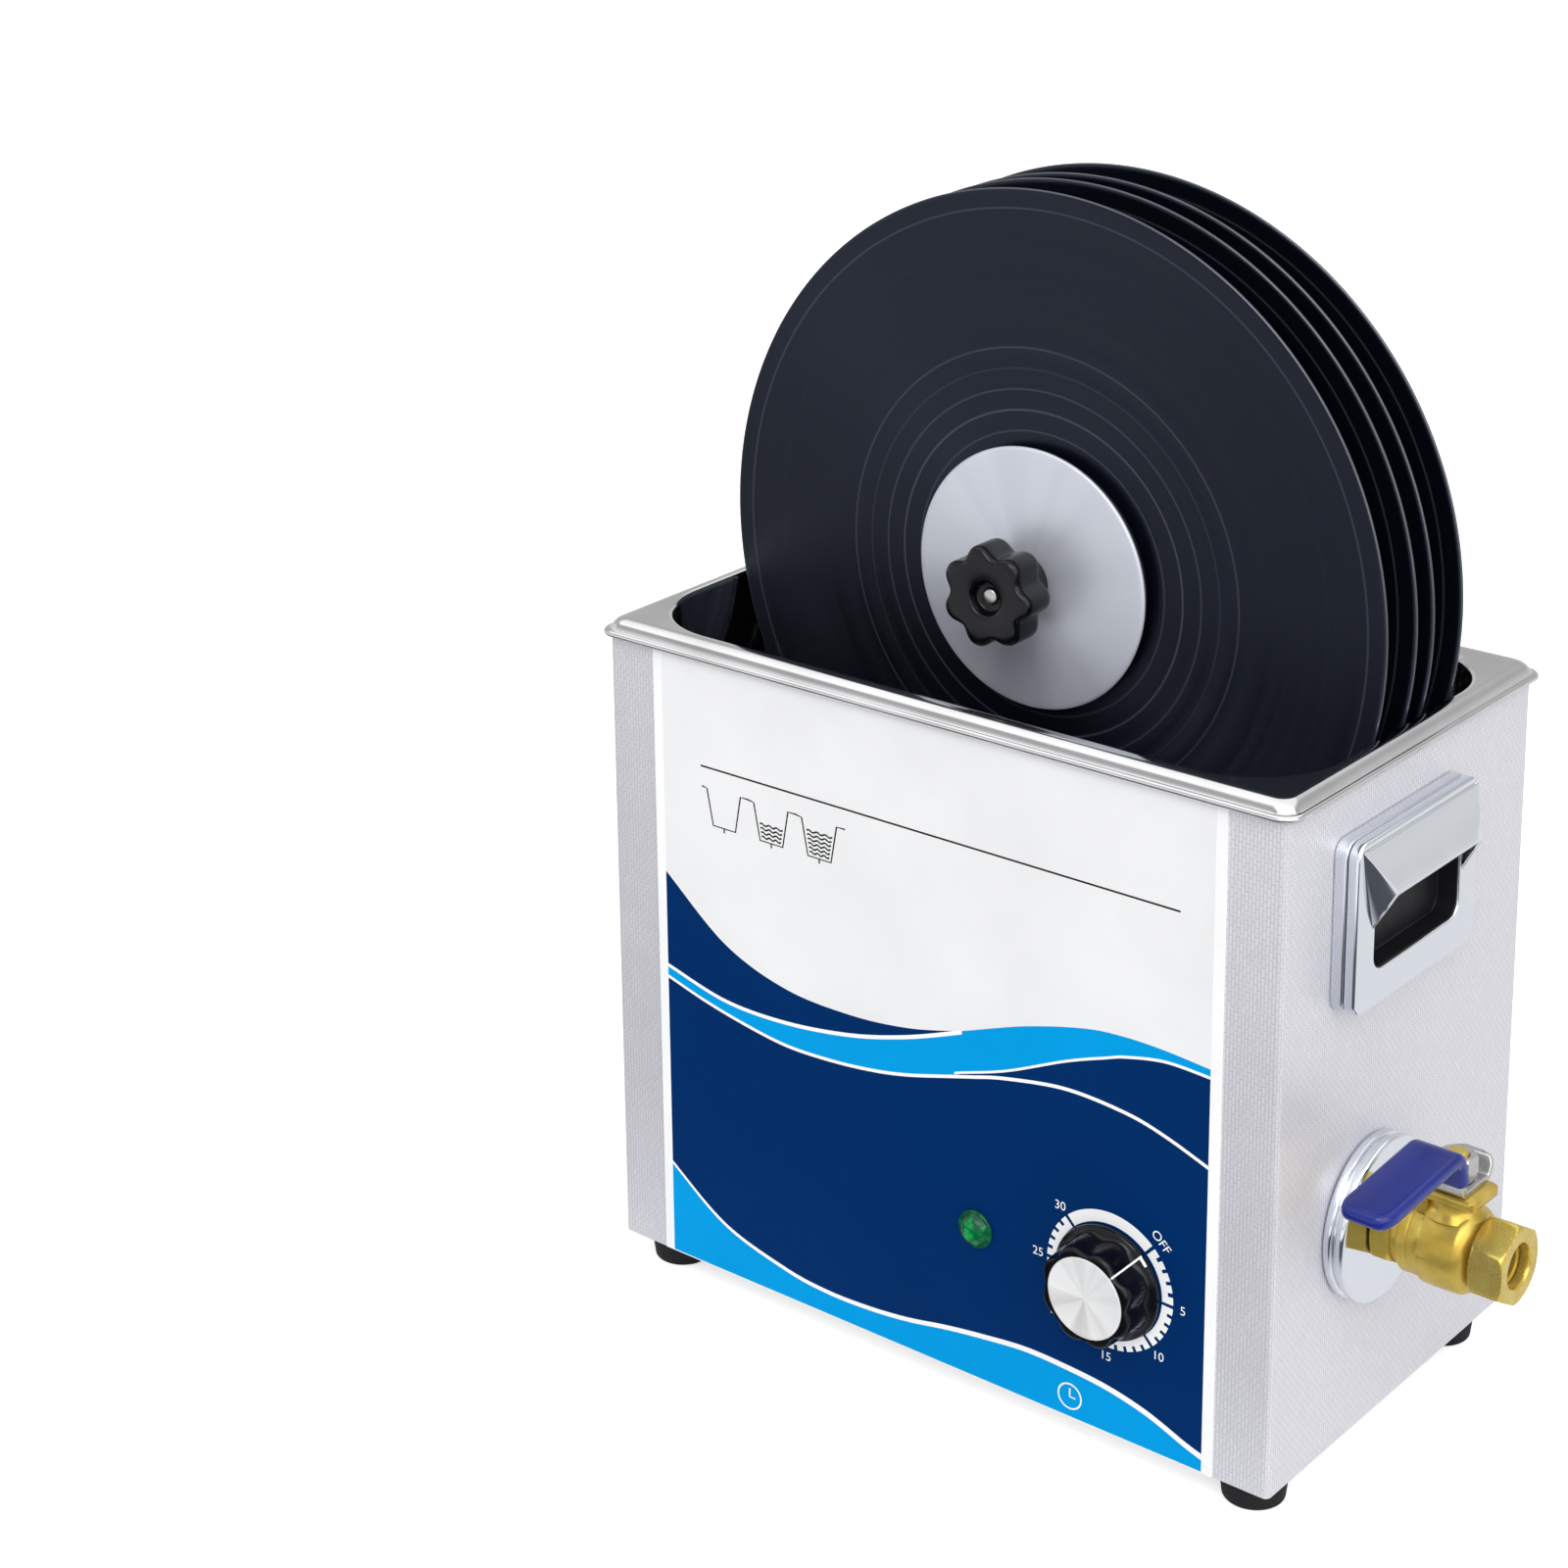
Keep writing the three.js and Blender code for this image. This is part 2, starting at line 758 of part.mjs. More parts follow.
function handle(side) {
  const rectangle = () => roundedRectangle(handleLength, handleTall, handleRadius);
  const recessTall = recessHigh - recessLow;
  const recessMiddle = (recessHigh + recessLow) / 2;
  const window = (low, high) =>
    plate(roundedRectangle(recessLength, recessTall, recessRadius, 0, recessMiddle), low, high, bendSteps);
  const backingTop = seat + backingThickness;
  const backingWindow = window(seat + backingFloor, backingTop + overrun);
  const backing = cut(plate(rectangle(), seat, backingTop), backingWindow);

  const coverLow = backingTop + seat;
  const coverTop = coverLow + coverThickness;
  const hoodTop = handleTall / 2 - hoodTopInset;
  const hoodLoop = (share, shrink, base) => {
    const height = hoodTop + (hoodLipHeight - hoodTop) * share;
    const topHalf = handleLength / 2 - hoodTopInset;
    const half = topHalf + (hoodLipLength / 2 - topHalf) * share - shrink;
    const reach = coverTop + hoodReach * Math.sin((share * Math.PI) / 2) - shrink;
    return [
      [-half, height - shrink, base],
      [half, height - shrink, base],
      [half, height - shrink, reach],
      [-half, height - shrink, reach],
    ];
  };
  const shares = Array.from({ length: hoodSteps + 1 }, (_, i) => i / hoodSteps);
  const hood = loft(shares.map((share) => hoodLoop(share, 0, coverLow + seat)));
  const openShares = shares.filter((share) => share > hoodClosedShare);
  const hollow = loft(openShares.map((share) => hoodLoop(share, hoodSheet, coverLow - overrun)));
  const solidCover = join(plate(rectangle(), coverLow, coverTop), hood);
  const cover = cut(solidCover, window(coverLow - overrun, coverTop), hollow);
  return [
    piece(`${side}_handle_backing`, "blackPlastic", backing),
    piece(`${side}_handle_cover`, "polished", cover),
  ];
}

// Drain, drawn with X along the casing's depth, Y up and Z out of the casing's side

function drainElbow() {
  const rise = tankFloor - tankSheet - seat - drainZ;
  const back = drainHoleX - sideX;
  const ring = new THREE.Shape();
  ring.absarc(0, 0, pipeRadius, 0, Math.PI * 2);
  const bore = new THREE.Path();
  bore.absarc(0, 0, pipeBore, 0, Math.PI * 2);
  ring.holes.push(bore);
  const route = new THREE.CurvePath();
  const at = (up, out) => new THREE.Vector3(0, up, out);
  route.add(new THREE.LineCurve3(at(rise, back), at(elbowRadius, back)));
  route.add(new THREE.QuadraticBezierCurve3(at(elbowRadius, back), at(0, back), at(0, back + elbowRadius)));
  route.add(new THREE.LineCurve3(at(0, back + elbowRadius), at(0, pipeReach)));
  const tube = new THREE.ExtrudeGeometry(ring, {
    steps: elbowSteps,
    curveSegments: hiddenSides / 2,
    extrudePath: route,
  });
  const flange = bar(elbowFlangeRadius, -elbowFlangeThickness, 0, hiddenSides)
    .applyMatrix4(new THREE.Matrix4().makeRotationX(-Math.PI / 2))
    .translate(0, rise, back);
  const flangeBore = bar(pipeBore, -elbowFlangeThickness - overrun, overrun, hiddenSides)
    .applyMatrix4(new THREE.Matrix4().makeRotationX(-Math.PI / 2))
    .translate(0, rise, back);
  return piece("drain_elbow", "steel", cut(join(tube, flange), flangeBore));
}

function drainEscutcheon() {
  const [low, high] = [seat, seat + escutcheonThickness];
  const middle = (low + high) / 2;
  const groove = escutcheonGroove / 2;
  return piece(
    "drain_escutcheon",
    "polished",
    turned(
      [
        [pipeRadius + seat, low],
        [escutcheonRadius - escutcheonEdge, low],
        [escutcheonRadius, low + escutcheonEdge],
        [escutcheonRadius, middle - groove],
        [escutcheonRadius - escutcheonGroove, middle],
        [escutcheonRadius, middle + groove],
        [escutcheonRadius, high - escutcheonEdge],
        [escutcheonRadius - escutcheonEdge, high],
        [pipeRadius + seat, high],
        [pipeRadius + seat, low],
      ],
      roundSides,
    ),
  );
}

// Heights along the pipe's axis, from the casing's side
const valveStart = () => 2 * seat + escutcheonThickness;
const stemAxis = () => valveStart() + stemPlace;
const unionStart = () => stemAxis() + shoulderFront + unionGap;
const spigotEnd = () => unionStart() + spigotInNut;

function valveBody() {
  const at = (length) => valveStart() + length;
  const hexCorner = inletHexFlats / 2;
  const barrel = turned(
    [
      [0, at(inletHexLength - chamfer)],
      [barrelNeckRadius, at(inletHexLength - chamfer)],
      [barrelNeckRadius, at(inletHexLength + barrelNeckLength)],
      [barrelRadius, at(inletHexLength + barrelNeckLength + chamfer)],
      [barrelRadius, at(barrelLength - chamfer)],
      [bodyRadius, at(barrelLength)],
      [bodyRadius, at(stemPlace + bodyFront)],
      [spigotRadius + chamfer, at(stemPlace + shoulderFront - chamfer)],
      [spigotRadius, at(stemPlace + shoulderFront)],
      [spigotRadius, spigotEnd()],
      [0, spigotEnd()],
    ],
    roundSides,
  );
  const upright = (geometry) => geometry.rotateX(-Math.PI / 2).translate(0, 0, at(stemPlace));
  const boss = upright(bar(bossRadius, 0, bossHeight, smallSides));
  const stopPlate = upright(
    block(
      [-stopPlateWidth / 2, -stopPlateLength / 2, bossHeight - chamfer],
      [stopPlateWidth / 2, stopPlateLength / 2, bossHeight + stopPlateThickness],
    ),
  );
  const socket = bar(pipeRadius + 2 * seat, at(-overrun), pipeReach + seat, hiddenSides);
  const bore = bar(valveBore, at(-overrun), spigotEnd() + overrun, hiddenSides);
  const hollowRadius = chamberRadius / Math.cos(Math.PI / hiddenSides);
  const chamber = upright(new THREE.SphereGeometry(hollowRadius, hiddenSides, hiddenSides / 2));
  const stemTopHole = bar(stemRadius + running, 0, bossHeight + stopPlateThickness + overrun, hiddenSides);
  const stemHole = upright(stemTopHole);
  const solid = join(nut(hexCorner * 2, at(0), at(inletHexLength)), barrel, boss, stopPlate);
  return piece("valve_body", "brass", cut(solid, socket, bore, chamber, stemHole));
}

function valveUnionNut() {
  const start = unionStart();
  const solid = nut(unionFlats, start, start + unionLength);
  const socket = bar(spigotRadius + seat, start - overrun, spigotEnd() + seat, roundSides);
  const mouth = bar(valveBore + unionLip / 2, start, start + unionLength + overrun, smallSides);
  return piece("valve_union_nut", "brass", cut(solid, socket, mouth));
}

function leverLine() {
  const plateHeight = bossHeight + stopPlateThickness + seat + leverThickness / 2;
  const knee = leverFlat + leverRiseRun;
  return {
    tab: [-leverFlat - leverTabRun, plateHeight + leverTab],
    flatEnd: [-leverFlat, plateHeight],
    flatStart: [leverFlat, plateHeight],
    knee: [knee, plateHeight + leverRise],
    tip: [leverLength, plateHeight + leverRise - leverDrop],
  };
}

// The lever points to -X here, which is towards the front of the machine
function valveLever() {
  const line = leverLine();
  const steel = strip(
    [line.tab, line.flatEnd, line.flatStart, line.knee, line.tip],
    leverThickness,
    leverWidth,
  );
  const outline = plate(
    roundedRectangle(
      leverLength + leverFlat + leverTabRun + leverThickness,
      leverWidth,
      leverWidth / 2 - chamfer,
      (leverLength - leverFlat - leverTabRun) / 2,
    ),
    -leverLength,
    leverLength,
  ).rotateX(-Math.PI / 2);
  const hole = bar(stemRadius + seat, 0, stemTop + overrun, hiddenSides).rotateX(-Math.PI / 2);
  const made = cut(common(steel, outline), hole).rotateY(Math.PI);
  return piece("valve_lever", "steel", made.translate(0, 0, stemAxis()));
}

function leverGrip() {
  const line = leverLine();
  const gripWidth = leverWidth + 2 * gripSide;
  const mix = (a, b, share) => a.map((value, i) => value + (b[i] - value) * share);
  const mouth = mix(line.flatStart, line.knee, gripStartShare);
  const run = line.tip[0] - line.knee[0];
  const end = mix(line.knee, line.tip, (run + gripEnd) / run);
  const reachIn = mix(line.flatStart, line.knee, gripStartShare / 2);
  const sleeve = strip([mouth, line.knee, end], leverThickness + 2 * gripSkin, gripWidth);
  const outline = plate(
    roundedRectangle(2 * end[0], gripWidth, gripWidth / 2 - chamfer),
    -leverLength,
    leverLength,
  ).rotateX(-Math.PI / 2);
  const pocket = strip(
    [reachIn, line.knee, mix(line.knee, line.tip, (run + seat) / run)],
    leverThickness + 2 * seat,
    leverWidth + 2 * seat,
  );
  const made = cut(common(sleeve, outline), pocket).rotateY(Math.PI);
  return piece("lever_grip", "vinylGrip", made.translate(0, 0, stemAxis()));
}

function leverNut() {
  const low = bossHeight + stopPlateThickness + seat + leverThickness + seat;
  const hole = bar(stemRadius + running, low - overrun, low + leverNutHeight + overrun, hiddenSides);
  const solid = nut(leverNutFlats, low, low + leverNutHeight, smallSides);
  const made = cut(solid, hole).rotateX(-Math.PI / 2);
  return piece("lever_nut", "steel", made.translate(0, 0, stemAxis()));
}

function valveStem() {
  const made = bar(stemRadius, ballRadius + seat, stemTop, hiddenSides).rotateX(-Math.PI / 2);
  return piece("valve_stem", "brass", made.translate(0, 0, stemAxis()));
}

// Shut: its bore lies across the pipe
function valveBall() {
  const ball = new THREE.SphereGeometry(ballRadius, hiddenSides, hiddenSides / 2);
  const bore = bar(valveBore, -ballRadius - overrun, ballRadius + overrun, hiddenSides).rotateY(Math.PI / 2);
  return piece("valve_ball", "polished", cut(ball, bore).translate(0, 0, stemAxis()));
}

// Timer, drawn with X across, Y up and Z out of the front

function timerBody() {
  const back = -caseSheet - seat;
  const housing = plate(roundedRectangle(timerBox, timerBox, bendRadius), back - timerDepth, back, bendSteps);
  const bushing = bar(bushingRadius, back - chamfer, filmFace + bushingReach, smallSides);
  const bore = bar(shaftRadius + running, -shaftBack - seat, filmFace + bushingReach + overrun, hiddenSides);
  return piece("timer_body", "blackPlastic", cut(join(housing, bushing), bore));
}

function timerShaft() {
  const top = filmFace + knobLift + knobHeight - capThickness - 2 * seat - chamfer;
  return piece("timer_shaft", "steel", bar(shaftRadius, -shaftBack, top, hiddenSides));
}

function timerKnob() {
  const low = filmFace + knobLift;
  const top = low + knobHeight;
  const gripTopRadius = capRadius + capBorder;
  const gripBaseRadius = gripTopRadius + gripFlare;
  const skirtRadius = gripBaseRadius + skirtBorder;
  const steps = 5;
  const round = (radius, height) => lobedLoop(radius, 0, gripFlutes, height, steps);
  const fluted = (radius, height) => lobedLoop(radius, gripFluteDepth * 2, gripFlutes, height, steps);
  const outer = loft([
    round(skirtRadius - chamfer, low),
    round(skirtRadius, low + chamfer),
    round(skirtRadius, low + skirtEdge),
    fluted(gripBaseRadius, low + skirtShoulder),
    fluted(gripTopRadius, top - chamfer),
    fluted(gripTopRadius - chamfer, top),
  ]);
  const cavity = bar(gripTopRadius - knobWall, low - overrun, low + knobCavityDepth, smallSides);
  const hub = bar(knobHubRadius, low + knobHubLift, low + knobCavityDepth + chamfer, hiddenSides);
  const bore = bar(shaftRadius + seat, low - overrun, top - capThickness - seat - chamfer, hiddenSides);
  const capSeat = bar(capRadius + seat, top - capThickness - seat, top + overrun, roundSides);
  const pointerLow = low + skirtShoulder;
  const pointer = block(
    [gripBaseRadius - gripFluteDepth * 2, -pointerWidth / 2, low + skirtEdge],
    [skirtRadius, pointerWidth / 2, pointerLow],
  ).rotateZ((pointerDegrees * Math.PI) / 180);
  const rib = block(
    [capRadius + chamfer, -pointerWidth / 2, low + skirtEdge],
    [gripBaseRadius + pointerHeight, pointerWidth / 2, top - chamfer],
  ).rotateZ((pointerDegrees * Math.PI) / 180);
  const shell = cut(join(outer, pointer, rib), cavity, capSeat);
  return piece("timer_knob", "blackPlastic", cut(join(shell, hub), bore));
}

function knobCap() {
  const low = filmFace + knobLift + knobHeight - capThickness;
  return piece("knob_cap", "aluminium", bar(capRadius, low, low + capThickness, roundSides));
}

// Indicator lamp, drawn as the timer is

function lampLens() {
  const low = filmFace + seat;
  return piece(
    "lamp_lens",
    "greenLens",
    turned(
      [
        [0, low],
        [lensRadius, low],
        [lensRadius, low + lensRim],
        [lensRadius - lensRim, low + lensRim],
        [(lensRadius - lensRim) * Math.cos(Math.PI / 4), low + lensHeight * Math.sin(Math.PI / 4)],
        [0, low + lensHeight],
      ],
      smallSides,
    ),
  );
}

function lampBody() {
  return piece("lamp_body", "blackPlastic", bar(lampBodyRadius, -lampBodyDepth, filmFace, smallSides));
}

// Rear, drawn with X to the machine's -X, Y up and Z out of the back, from the rear panel's outer face

function rearPanel() {
  const length = caseLength - 2 * (bendRadius + seat);
  const low = footHeight + seat;
  const sheet = block([-length / 2, low, -caseSheet], [length / 2, wrapTop, 0]);
  const opening = (x, z, sizeX, sizeZ) =>
    block(
      [-x - sizeX / 2 - seat, z - sizeZ / 2 - seat, -caseSheet - overrun],
      [-x + sizeX / 2 + seat, z + sizeZ / 2 + seat, overrun],
    );
  const grille = [];
  for (let i = 0; i < grilleCount; i++) {
    const rise = (i - (grilleCount - 1) / 2) * grillePitch;
    const reach = Math.sqrt((fanSize / 2 - fanWall) ** 2 - rise ** 2) - grilleSlot / 2;
    grille.push(
      slot(2 * reach, grilleSlot, -caseSheet - overrun, overrun).translate(-fanX, fanZ + rise, 0),
    );
  }
  return piece(
    "rear_panel",
    "stainless",
    cut(
      sheet,
      opening(inletX, inletZ, inletBodyLength, inletBodyTall),
      opening(switchX, switchZ, switchBodyLength, switchBodyTall),
      ...grille,
    ),
  );
}

function powerInlet() {
  const flange = plate(
    roundedRectangle(inletFlangeLength, inletFlangeTall, bendRadius),
    seat,
    seat + inletFlangeThickness,
    bendSteps,
  );
  const body = block(
    [-inletBodyLength / 2, -inletBodyTall / 2, -inletBodyDepth],
    [inletBodyLength / 2, inletBodyTall / 2, seat + chamfer],
  );
  const mouth = seat + inletFlangeThickness;
  const [x, y] = [inletBodyLength / 2 - inletWall, inletBodyTall / 2 - inletWall];
  const top = y / 2;
  const cavityShape = new THREE.Shape();
  cavityShape.moveTo(-x, -y);
  cavityShape.lineTo(x, -y);
  cavityShape.lineTo(x, y - top);
  cavityShape.lineTo(x - top, y);
  cavityShape.lineTo(top - x, y);
  cavityShape.lineTo(-x, y - top);
  cavityShape.closePath();
  const cavity = plate(cavityShape, mouth - inletCavityDepth, mouth + overrun);
  const pins = [-1, 0, 1].map((place) => {
    const drop = place === 0 ? inletPinDrop : -inletPinDrop;
    const floor = mouth - inletCavityDepth;
    return block(
      [place * inletPinPitch - inletPinWidth / 2, drop - inletPinLength / 2, floor - chamfer],
      [
        place * inletPinPitch + inletPinWidth / 2,
        drop + inletPinLength / 2,
        floor + inletPinReach,
      ],
    );
  });
  return piece("power_inlet", "blackPlastic", join(cut(join(flange, body), cavity), ...pins));
}

function switchFrame() {
  const bezel = plate(
    roundedRectangle(switchBezelLength, switchBezelTall, chamfer),
    seat,
    seat + switchBezelThickness,
    bendSteps,
  );
  const body = block(
    [-switchBodyLength / 2, -switchBodyTall / 2, -switchBodyDepth],
    [switchBodyLength / 2, switchBodyTall / 2, seat + chamfer],
  );
  const well = block(
    [
      switchWall - switchBodyLength / 2,
      switchWall - switchBodyTall / 2,
      seat + switchBezelThickness - switchWellDepth,
    ],
    [switchBodyLength / 2 - switchWall, switchBodyTall / 2 - switchWall, overrun],
  );
  return piece("switch_frame", "blackPlastic", cut(join(bezel, body), well));
}

// The rocker's own axis runs across it, at the depth that its pivot has below the bezel
function rockerButton() {
  const halfX = switchBodyLength / 2 - switchWall - 2 * seat;
  const halfY = switchBodyTall / 2 - switchWall - rockerGap;
  const front = seat + switchBezelThickness;
  const outline = new THREE.Shape();
  outline.moveTo(-halfY, 0);
  outline.lineTo(halfY, 0);
  outline.lineTo(halfY, rockerThickness);
  outline.lineTo(0, rockerThickness - chamfer);
  outline.lineTo(-halfY, rockerThickness);
  outline.closePath();
  const made = plate(outline, -halfX, halfX)
    .applyMatrix4(new THREE.Matrix4().makeBasis(yAxis, zAxis, xAxis))
    .rotateX((rockerTilt * Math.PI) / 180)
    .translate(0, 0, front - rockerPivotDepth);
  return piece("rocker_button", "blackPlastic", made);
}

function fanFrame() {
  const back = -caseSheet - seat;
  const outline = roundedRectangle(fanSize, fanSize, bendRadius);
  const fanBore = fanSize / 2 - fanWall;
  const bore = bar(fanBore, back - fanDepth - overrun, back + overrun, smallSides);
  const frame = cut(plate(outline, back - fanDepth, back, slotSteps), bore);
  const hub = bar(fanHubRadius, back - fanDepth, back - fanDepth + fanFloor, hiddenSides);
  const struts = [0, 1, 2].map((i) =>
    block(
      [0, -fanStrut / 2, back - fanDepth],
      [fanBore + chamfer, fanStrut / 2, back - fanDepth + fanFloor],
    ).rotateZ((i * Math.PI * 2) / 3),
  );
  return piece("fan_frame", "blackPlastic", join(frame, hub, ...struts));
}

function fanRotor() {
  const low = -caseSheet - seat - fanDepth + fanFloor + seat;
  const reach = (fanSize / 2 - fanWall) * Math.cos(Math.PI / smallSides) - fanTipGap;
  const hub = bar(fanHubRadius, low, low + fanHubDepth, hiddenSides);
  const blades = Array.from({ length: fanBlades }, (_, i) =>
    block(
      [fanHubRadius - chamfer, -fanBladeWidth / 2, -fanBladeThickness / 2],
      [reach, fanBladeWidth / 2, fanBladeThickness / 2],
    )
      .rotateX((fanBladePitch * Math.PI) / 180)
      .rotateZ((i * Math.PI * 2) / fanBlades)
      .translate(0, 0, low + fanHubDepth / 2),
  );
  return piece("fan_rotor", "blackPlastic", join(hub, ...blades));
}

// Transducer, drawn downwards from the tank's floor at height zero

function transducer(number) {
  const name = (part) => `transducer_${number}_${part}`;
  const hornLow = -hornHeight;
  const hornProfile = [
    [0, 0],
    [hornMouthRadius, 0],
    [hornMouthRadius, -hornRim],
    [(hornMouthRadius + hornNeckRadius) / 2, hornLow * hornWaistShare],
    [hornNeckRadius, hornLow + chamfer],
    [hornNeckRadius, hornLow],
    [0, hornLow],
  ];
  const ceramic = (high) => {
    const profile = [
      [ceramicBore, high],
      [ceramicRadius, high],
      [ceramicRadius, high - ceramicThickness],
      [ceramicBore, high - ceramicThickness],
      [ceramicBore, high],
    ];
    return turned(profile, hiddenSides);
  };
  const upperHigh = hornLow - seat;
  const electrodeHigh = upperHigh - ceramicThickness - seat;
  const lowerHigh = electrodeHigh - electrodeThickness - seat;
  const backHigh = lowerHigh - ceramicThickness - seat;
  const backLow = backHigh - backHeight;
  const tabEnd = ceramicRadius + electrodeTab;
  const electrode = cut(
    join(
      bar(ceramicRadius, electrodeHigh - electrodeThickness, electrodeHigh, hiddenSides),
      slot(electrodeTab * 2, electrodeTabWidth, electrodeHigh - electrodeThickness, electrodeHigh).translate(
        ceramicRadius,
        0,
        0,
      ),
    ),
    bar(ceramicBore, electrodeHigh - overrun, electrodeHigh + overrun, hiddenSides),
    bar(electrodeEyeRadius, electrodeHigh - overrun, electrodeHigh + overrun, hiddenSides / 2).translate(
      tabEnd - electrodeTabWidth / 2,
      0,
      0,
    ),
  );
  const backProfile = [
    [0, backHigh],
    [backRadius, backHigh],
    [backRadius, backLow + backChamfer],
    [backRadius - backChamfer, backLow],
    [boltHeadRadius, backLow],
    [boltHeadRadius, backLow - boltHeadHeight],
    [0, backLow - boltHeadHeight],
  ];
  return [
    piece(name("horn"), "aluminium", turned(hornProfile, hiddenSides)),
    piece(name("upper_ceramic"), "ceramic", ceramic(upperHigh)),
    piece(name("electrode"), "steel", electrode),
    piece(name("lower_ceramic"), "ceramic", ceramic(lowerHigh)),
    piece(name("back_mass"), "steel", turned(backProfile, hiddenSides)),
  ];
}

// Electronics on the base plate, drawn from its upper face

function generatorBoard() {
  const [halfX, halfY] = [boardLength / 2, boardDepth / 2];
  const low = seat + standoffHeight;
  const top = low + boardThickness;
  const sheet = block([-halfX, -halfY, low], [halfX, halfY, top]);
  const standoffs = [-1, 1].flatMap((signX) =>
    [-1, 1].map((signY) =>
      bar(standoffRadius, seat, low + boardThickness / 2, hiddenSides / 2).translate(
        signX * (halfX - standoffInset),
        signY * (halfY - standoffInset),
        0,
      ),
    ),
  );
  const coil = new THREE.TorusGeometry(coilRadius, coilTube, hiddenSides / 2, hiddenSides).translate(
    halfX - coilRadius * 2,
    0,
    top + coilTube - chamfer,
  );
  const capacitors = [-1, 1].map((sign) =>
    bar(capacitorRadius, top - chamfer, top + capacitorHeight, hiddenSides).translate(
      -capacitorRadius,
      sign * (capacitorRadius + chamfer),
      0,
    ),
  );
  const terminal = block(
    [standoffInset * 2 - halfX, -terminalLength / 2, top - chamfer],
    [standoffInset * 2 - halfX + terminalDepth, terminalLength / 2, top + terminalHeight],
  );
  return piece("generator_board", "board", join(sheet, ...standoffs, coil, ...capacitors, terminal));
}

function heatSink() {
  const half = sinkLength / 2;
  const base = block([-half, -sinkDepth / 2, seat], [half, sinkDepth / 2, seat + sinkBase]);
  const pitch = (sinkLength - sinkFinThickness) / (sinkFins - 1);
  const fins = Array.from({ length: sinkFins }, (_, i) =>
    block(
      [i * pitch - half, -sinkDepth / 2, seat + sinkBase / 2],
      [i * pitch - half + sinkFinThickness, sinkDepth / 2, seat + sinkHeight],
    ),
  );
  return piece("heat_sink", "aluminium", join(base, ...fins));
}

// Rack, drawn on the spindle's axis with Z towards the front, so that a place at y lies at -y

const uprightRear = rimY - bracketFootInset;
const motorFace = -uprightRear - seat;
const motorTip = bracketSheet + seat - uprightRear + motorShaftLength;
const stackRear = motorTip + couplerOverlap + bossGap + rearBossLength + rearPlateThickness + seat;
const spacers = [wideSpacer, narrowSpacer, wideSpacer];
const stackLength = spacers.reduce((sum, length) => sum + length + recordThickness, recordThickness);
const stackFront = stackRear + stackLength;
const recordPlaces = spacers.reduce(
  (places, length) => [...places, places[places.length - 1] - length - recordThickness],
  [stackFront - recordThickness / 2],
);
const plateFront = stackFront + seat + sealThickness + seat;
const clampFront = plateFront + clampThickness + clampDome;
const knobFront = clampFront + seat + clampKnobCollar + clampKnobDepth;

function record(number, place) {
  const half = recordThickness / 2;
  const mesh = piece(
    `record_${number}`,
    "record",
    turned(
      [
        [recordBore, -half],
        [recordRadius - recordBead, -half],
        [recordRadius, 0],
        [recordRadius - recordBead, half],
        [recordBore, half],
        [recordBore, -half],
      ],
      fineSides,
    ),
  );
  mesh.position.z = place;
  return mesh;
}

function spacer(number, front, length) {
  const [high, low] = [front - seat, front - length + seat];
  const profile = [
    [spindleRadius + seat, low],
    [spacerFlangeRadius, low],
    [spacerFlangeRadius, low + spacerFlange],
    [spacerCoreRadius, low + spacerFlange],
    [spacerCoreRadius, high - spacerFlange],
    [spacerFlangeRadius, high - spacerFlange],
    [spacerFlangeRadius, high],
    [spindleRadius + seat, high],
    [spindleRadius + seat, low],
  ];
  return piece(`label_spacer_${number}`, "blackPlastic", turned(profile, smallSides));
}

function rearClampPlate() {
  const high = stackRear - seat;
  const low = high - rearPlateThickness;
  return piece(
    "rear_clamp_plate",
    "aluminium",
    turned([
      [spindleRadius + seat, low - rearBossLength],
      [rearBossRadius, low - rearBossLength],
      [rearBossRadius, low],
      [clampRadius - chamfer, low],
      [clampRadius, low + chamfer],
      [clampRadius, high],
      [spindleRadius + seat, high],
      [spindleRadius + seat, low - rearBossLength],
    ]),
  );
}

function labelSeal() {
  const low = stackFront + seat;
  return piece(
    "label_seal",
    "rubber",
    turned([
      [spindleRadius + seat, low],
      [sealRadius, low],
      [sealRadius, low + sealThickness],
      [spindleRadius + seat, low + sealThickness],
      [spindleRadius + seat, low],
    ]),
  );
}

function frontClampPlate() {
  const steps = 3;
  const dome = (radius) => clampDome * Math.cos(((radius / clampRadius) * Math.PI) / 2);
  const radii = Array.from(
    { length: steps + 1 },
    (_, i) => spindleRadius + running + ((clampRadius - spindleRadius - running) * i) / steps,
  );
  const under = radii.map((radius) => [radius, plateFront + dome(radius)]);
  const over = radii.map((radius) => [radius, plateFront + clampThickness + dome(radius)]).reverse();
  return piece("front_clamp_plate", "aluminium", turned([...under, ...over, under[0]], plateSides));
}

function clampKnob() {
  const steps = 5;
  const back = clampFront + seat;
  const low = back + clampKnobCollar;
  const star = (inset, height) =>
    lobedLoop(clampKnobRadius - inset, clampKnobValley, clampKnobLobes, height, steps);
  const lobes = loft([
    star(clampKnobRound, low),
    star(0, low + clampKnobRound),
    star(0, knobFront - clampKnobRound),
    star(clampKnobRound, knobFront),
  ]);
  const collar = bar(clampKnobCollarRadius, back, low + chamfer, roundSides);
  const dish = bar(
    clampKnobMouthRadius,
    knobFront - clampKnobDish,
    knobFront + seat,
    smallSides,
    clampKnobDishRadius,
  );
  const mouth = bar(clampKnobMouthRadius, knobFront - clampKnobMouthDepth, knobFront, smallSides);
  const bore = bar(spindleRadius + running, back - overrun, knobFront + overrun, hiddenSides);
  return piece("clamp_knob", "blackPlastic", cut(join(lobes, collar), dish, mouth, bore));
}

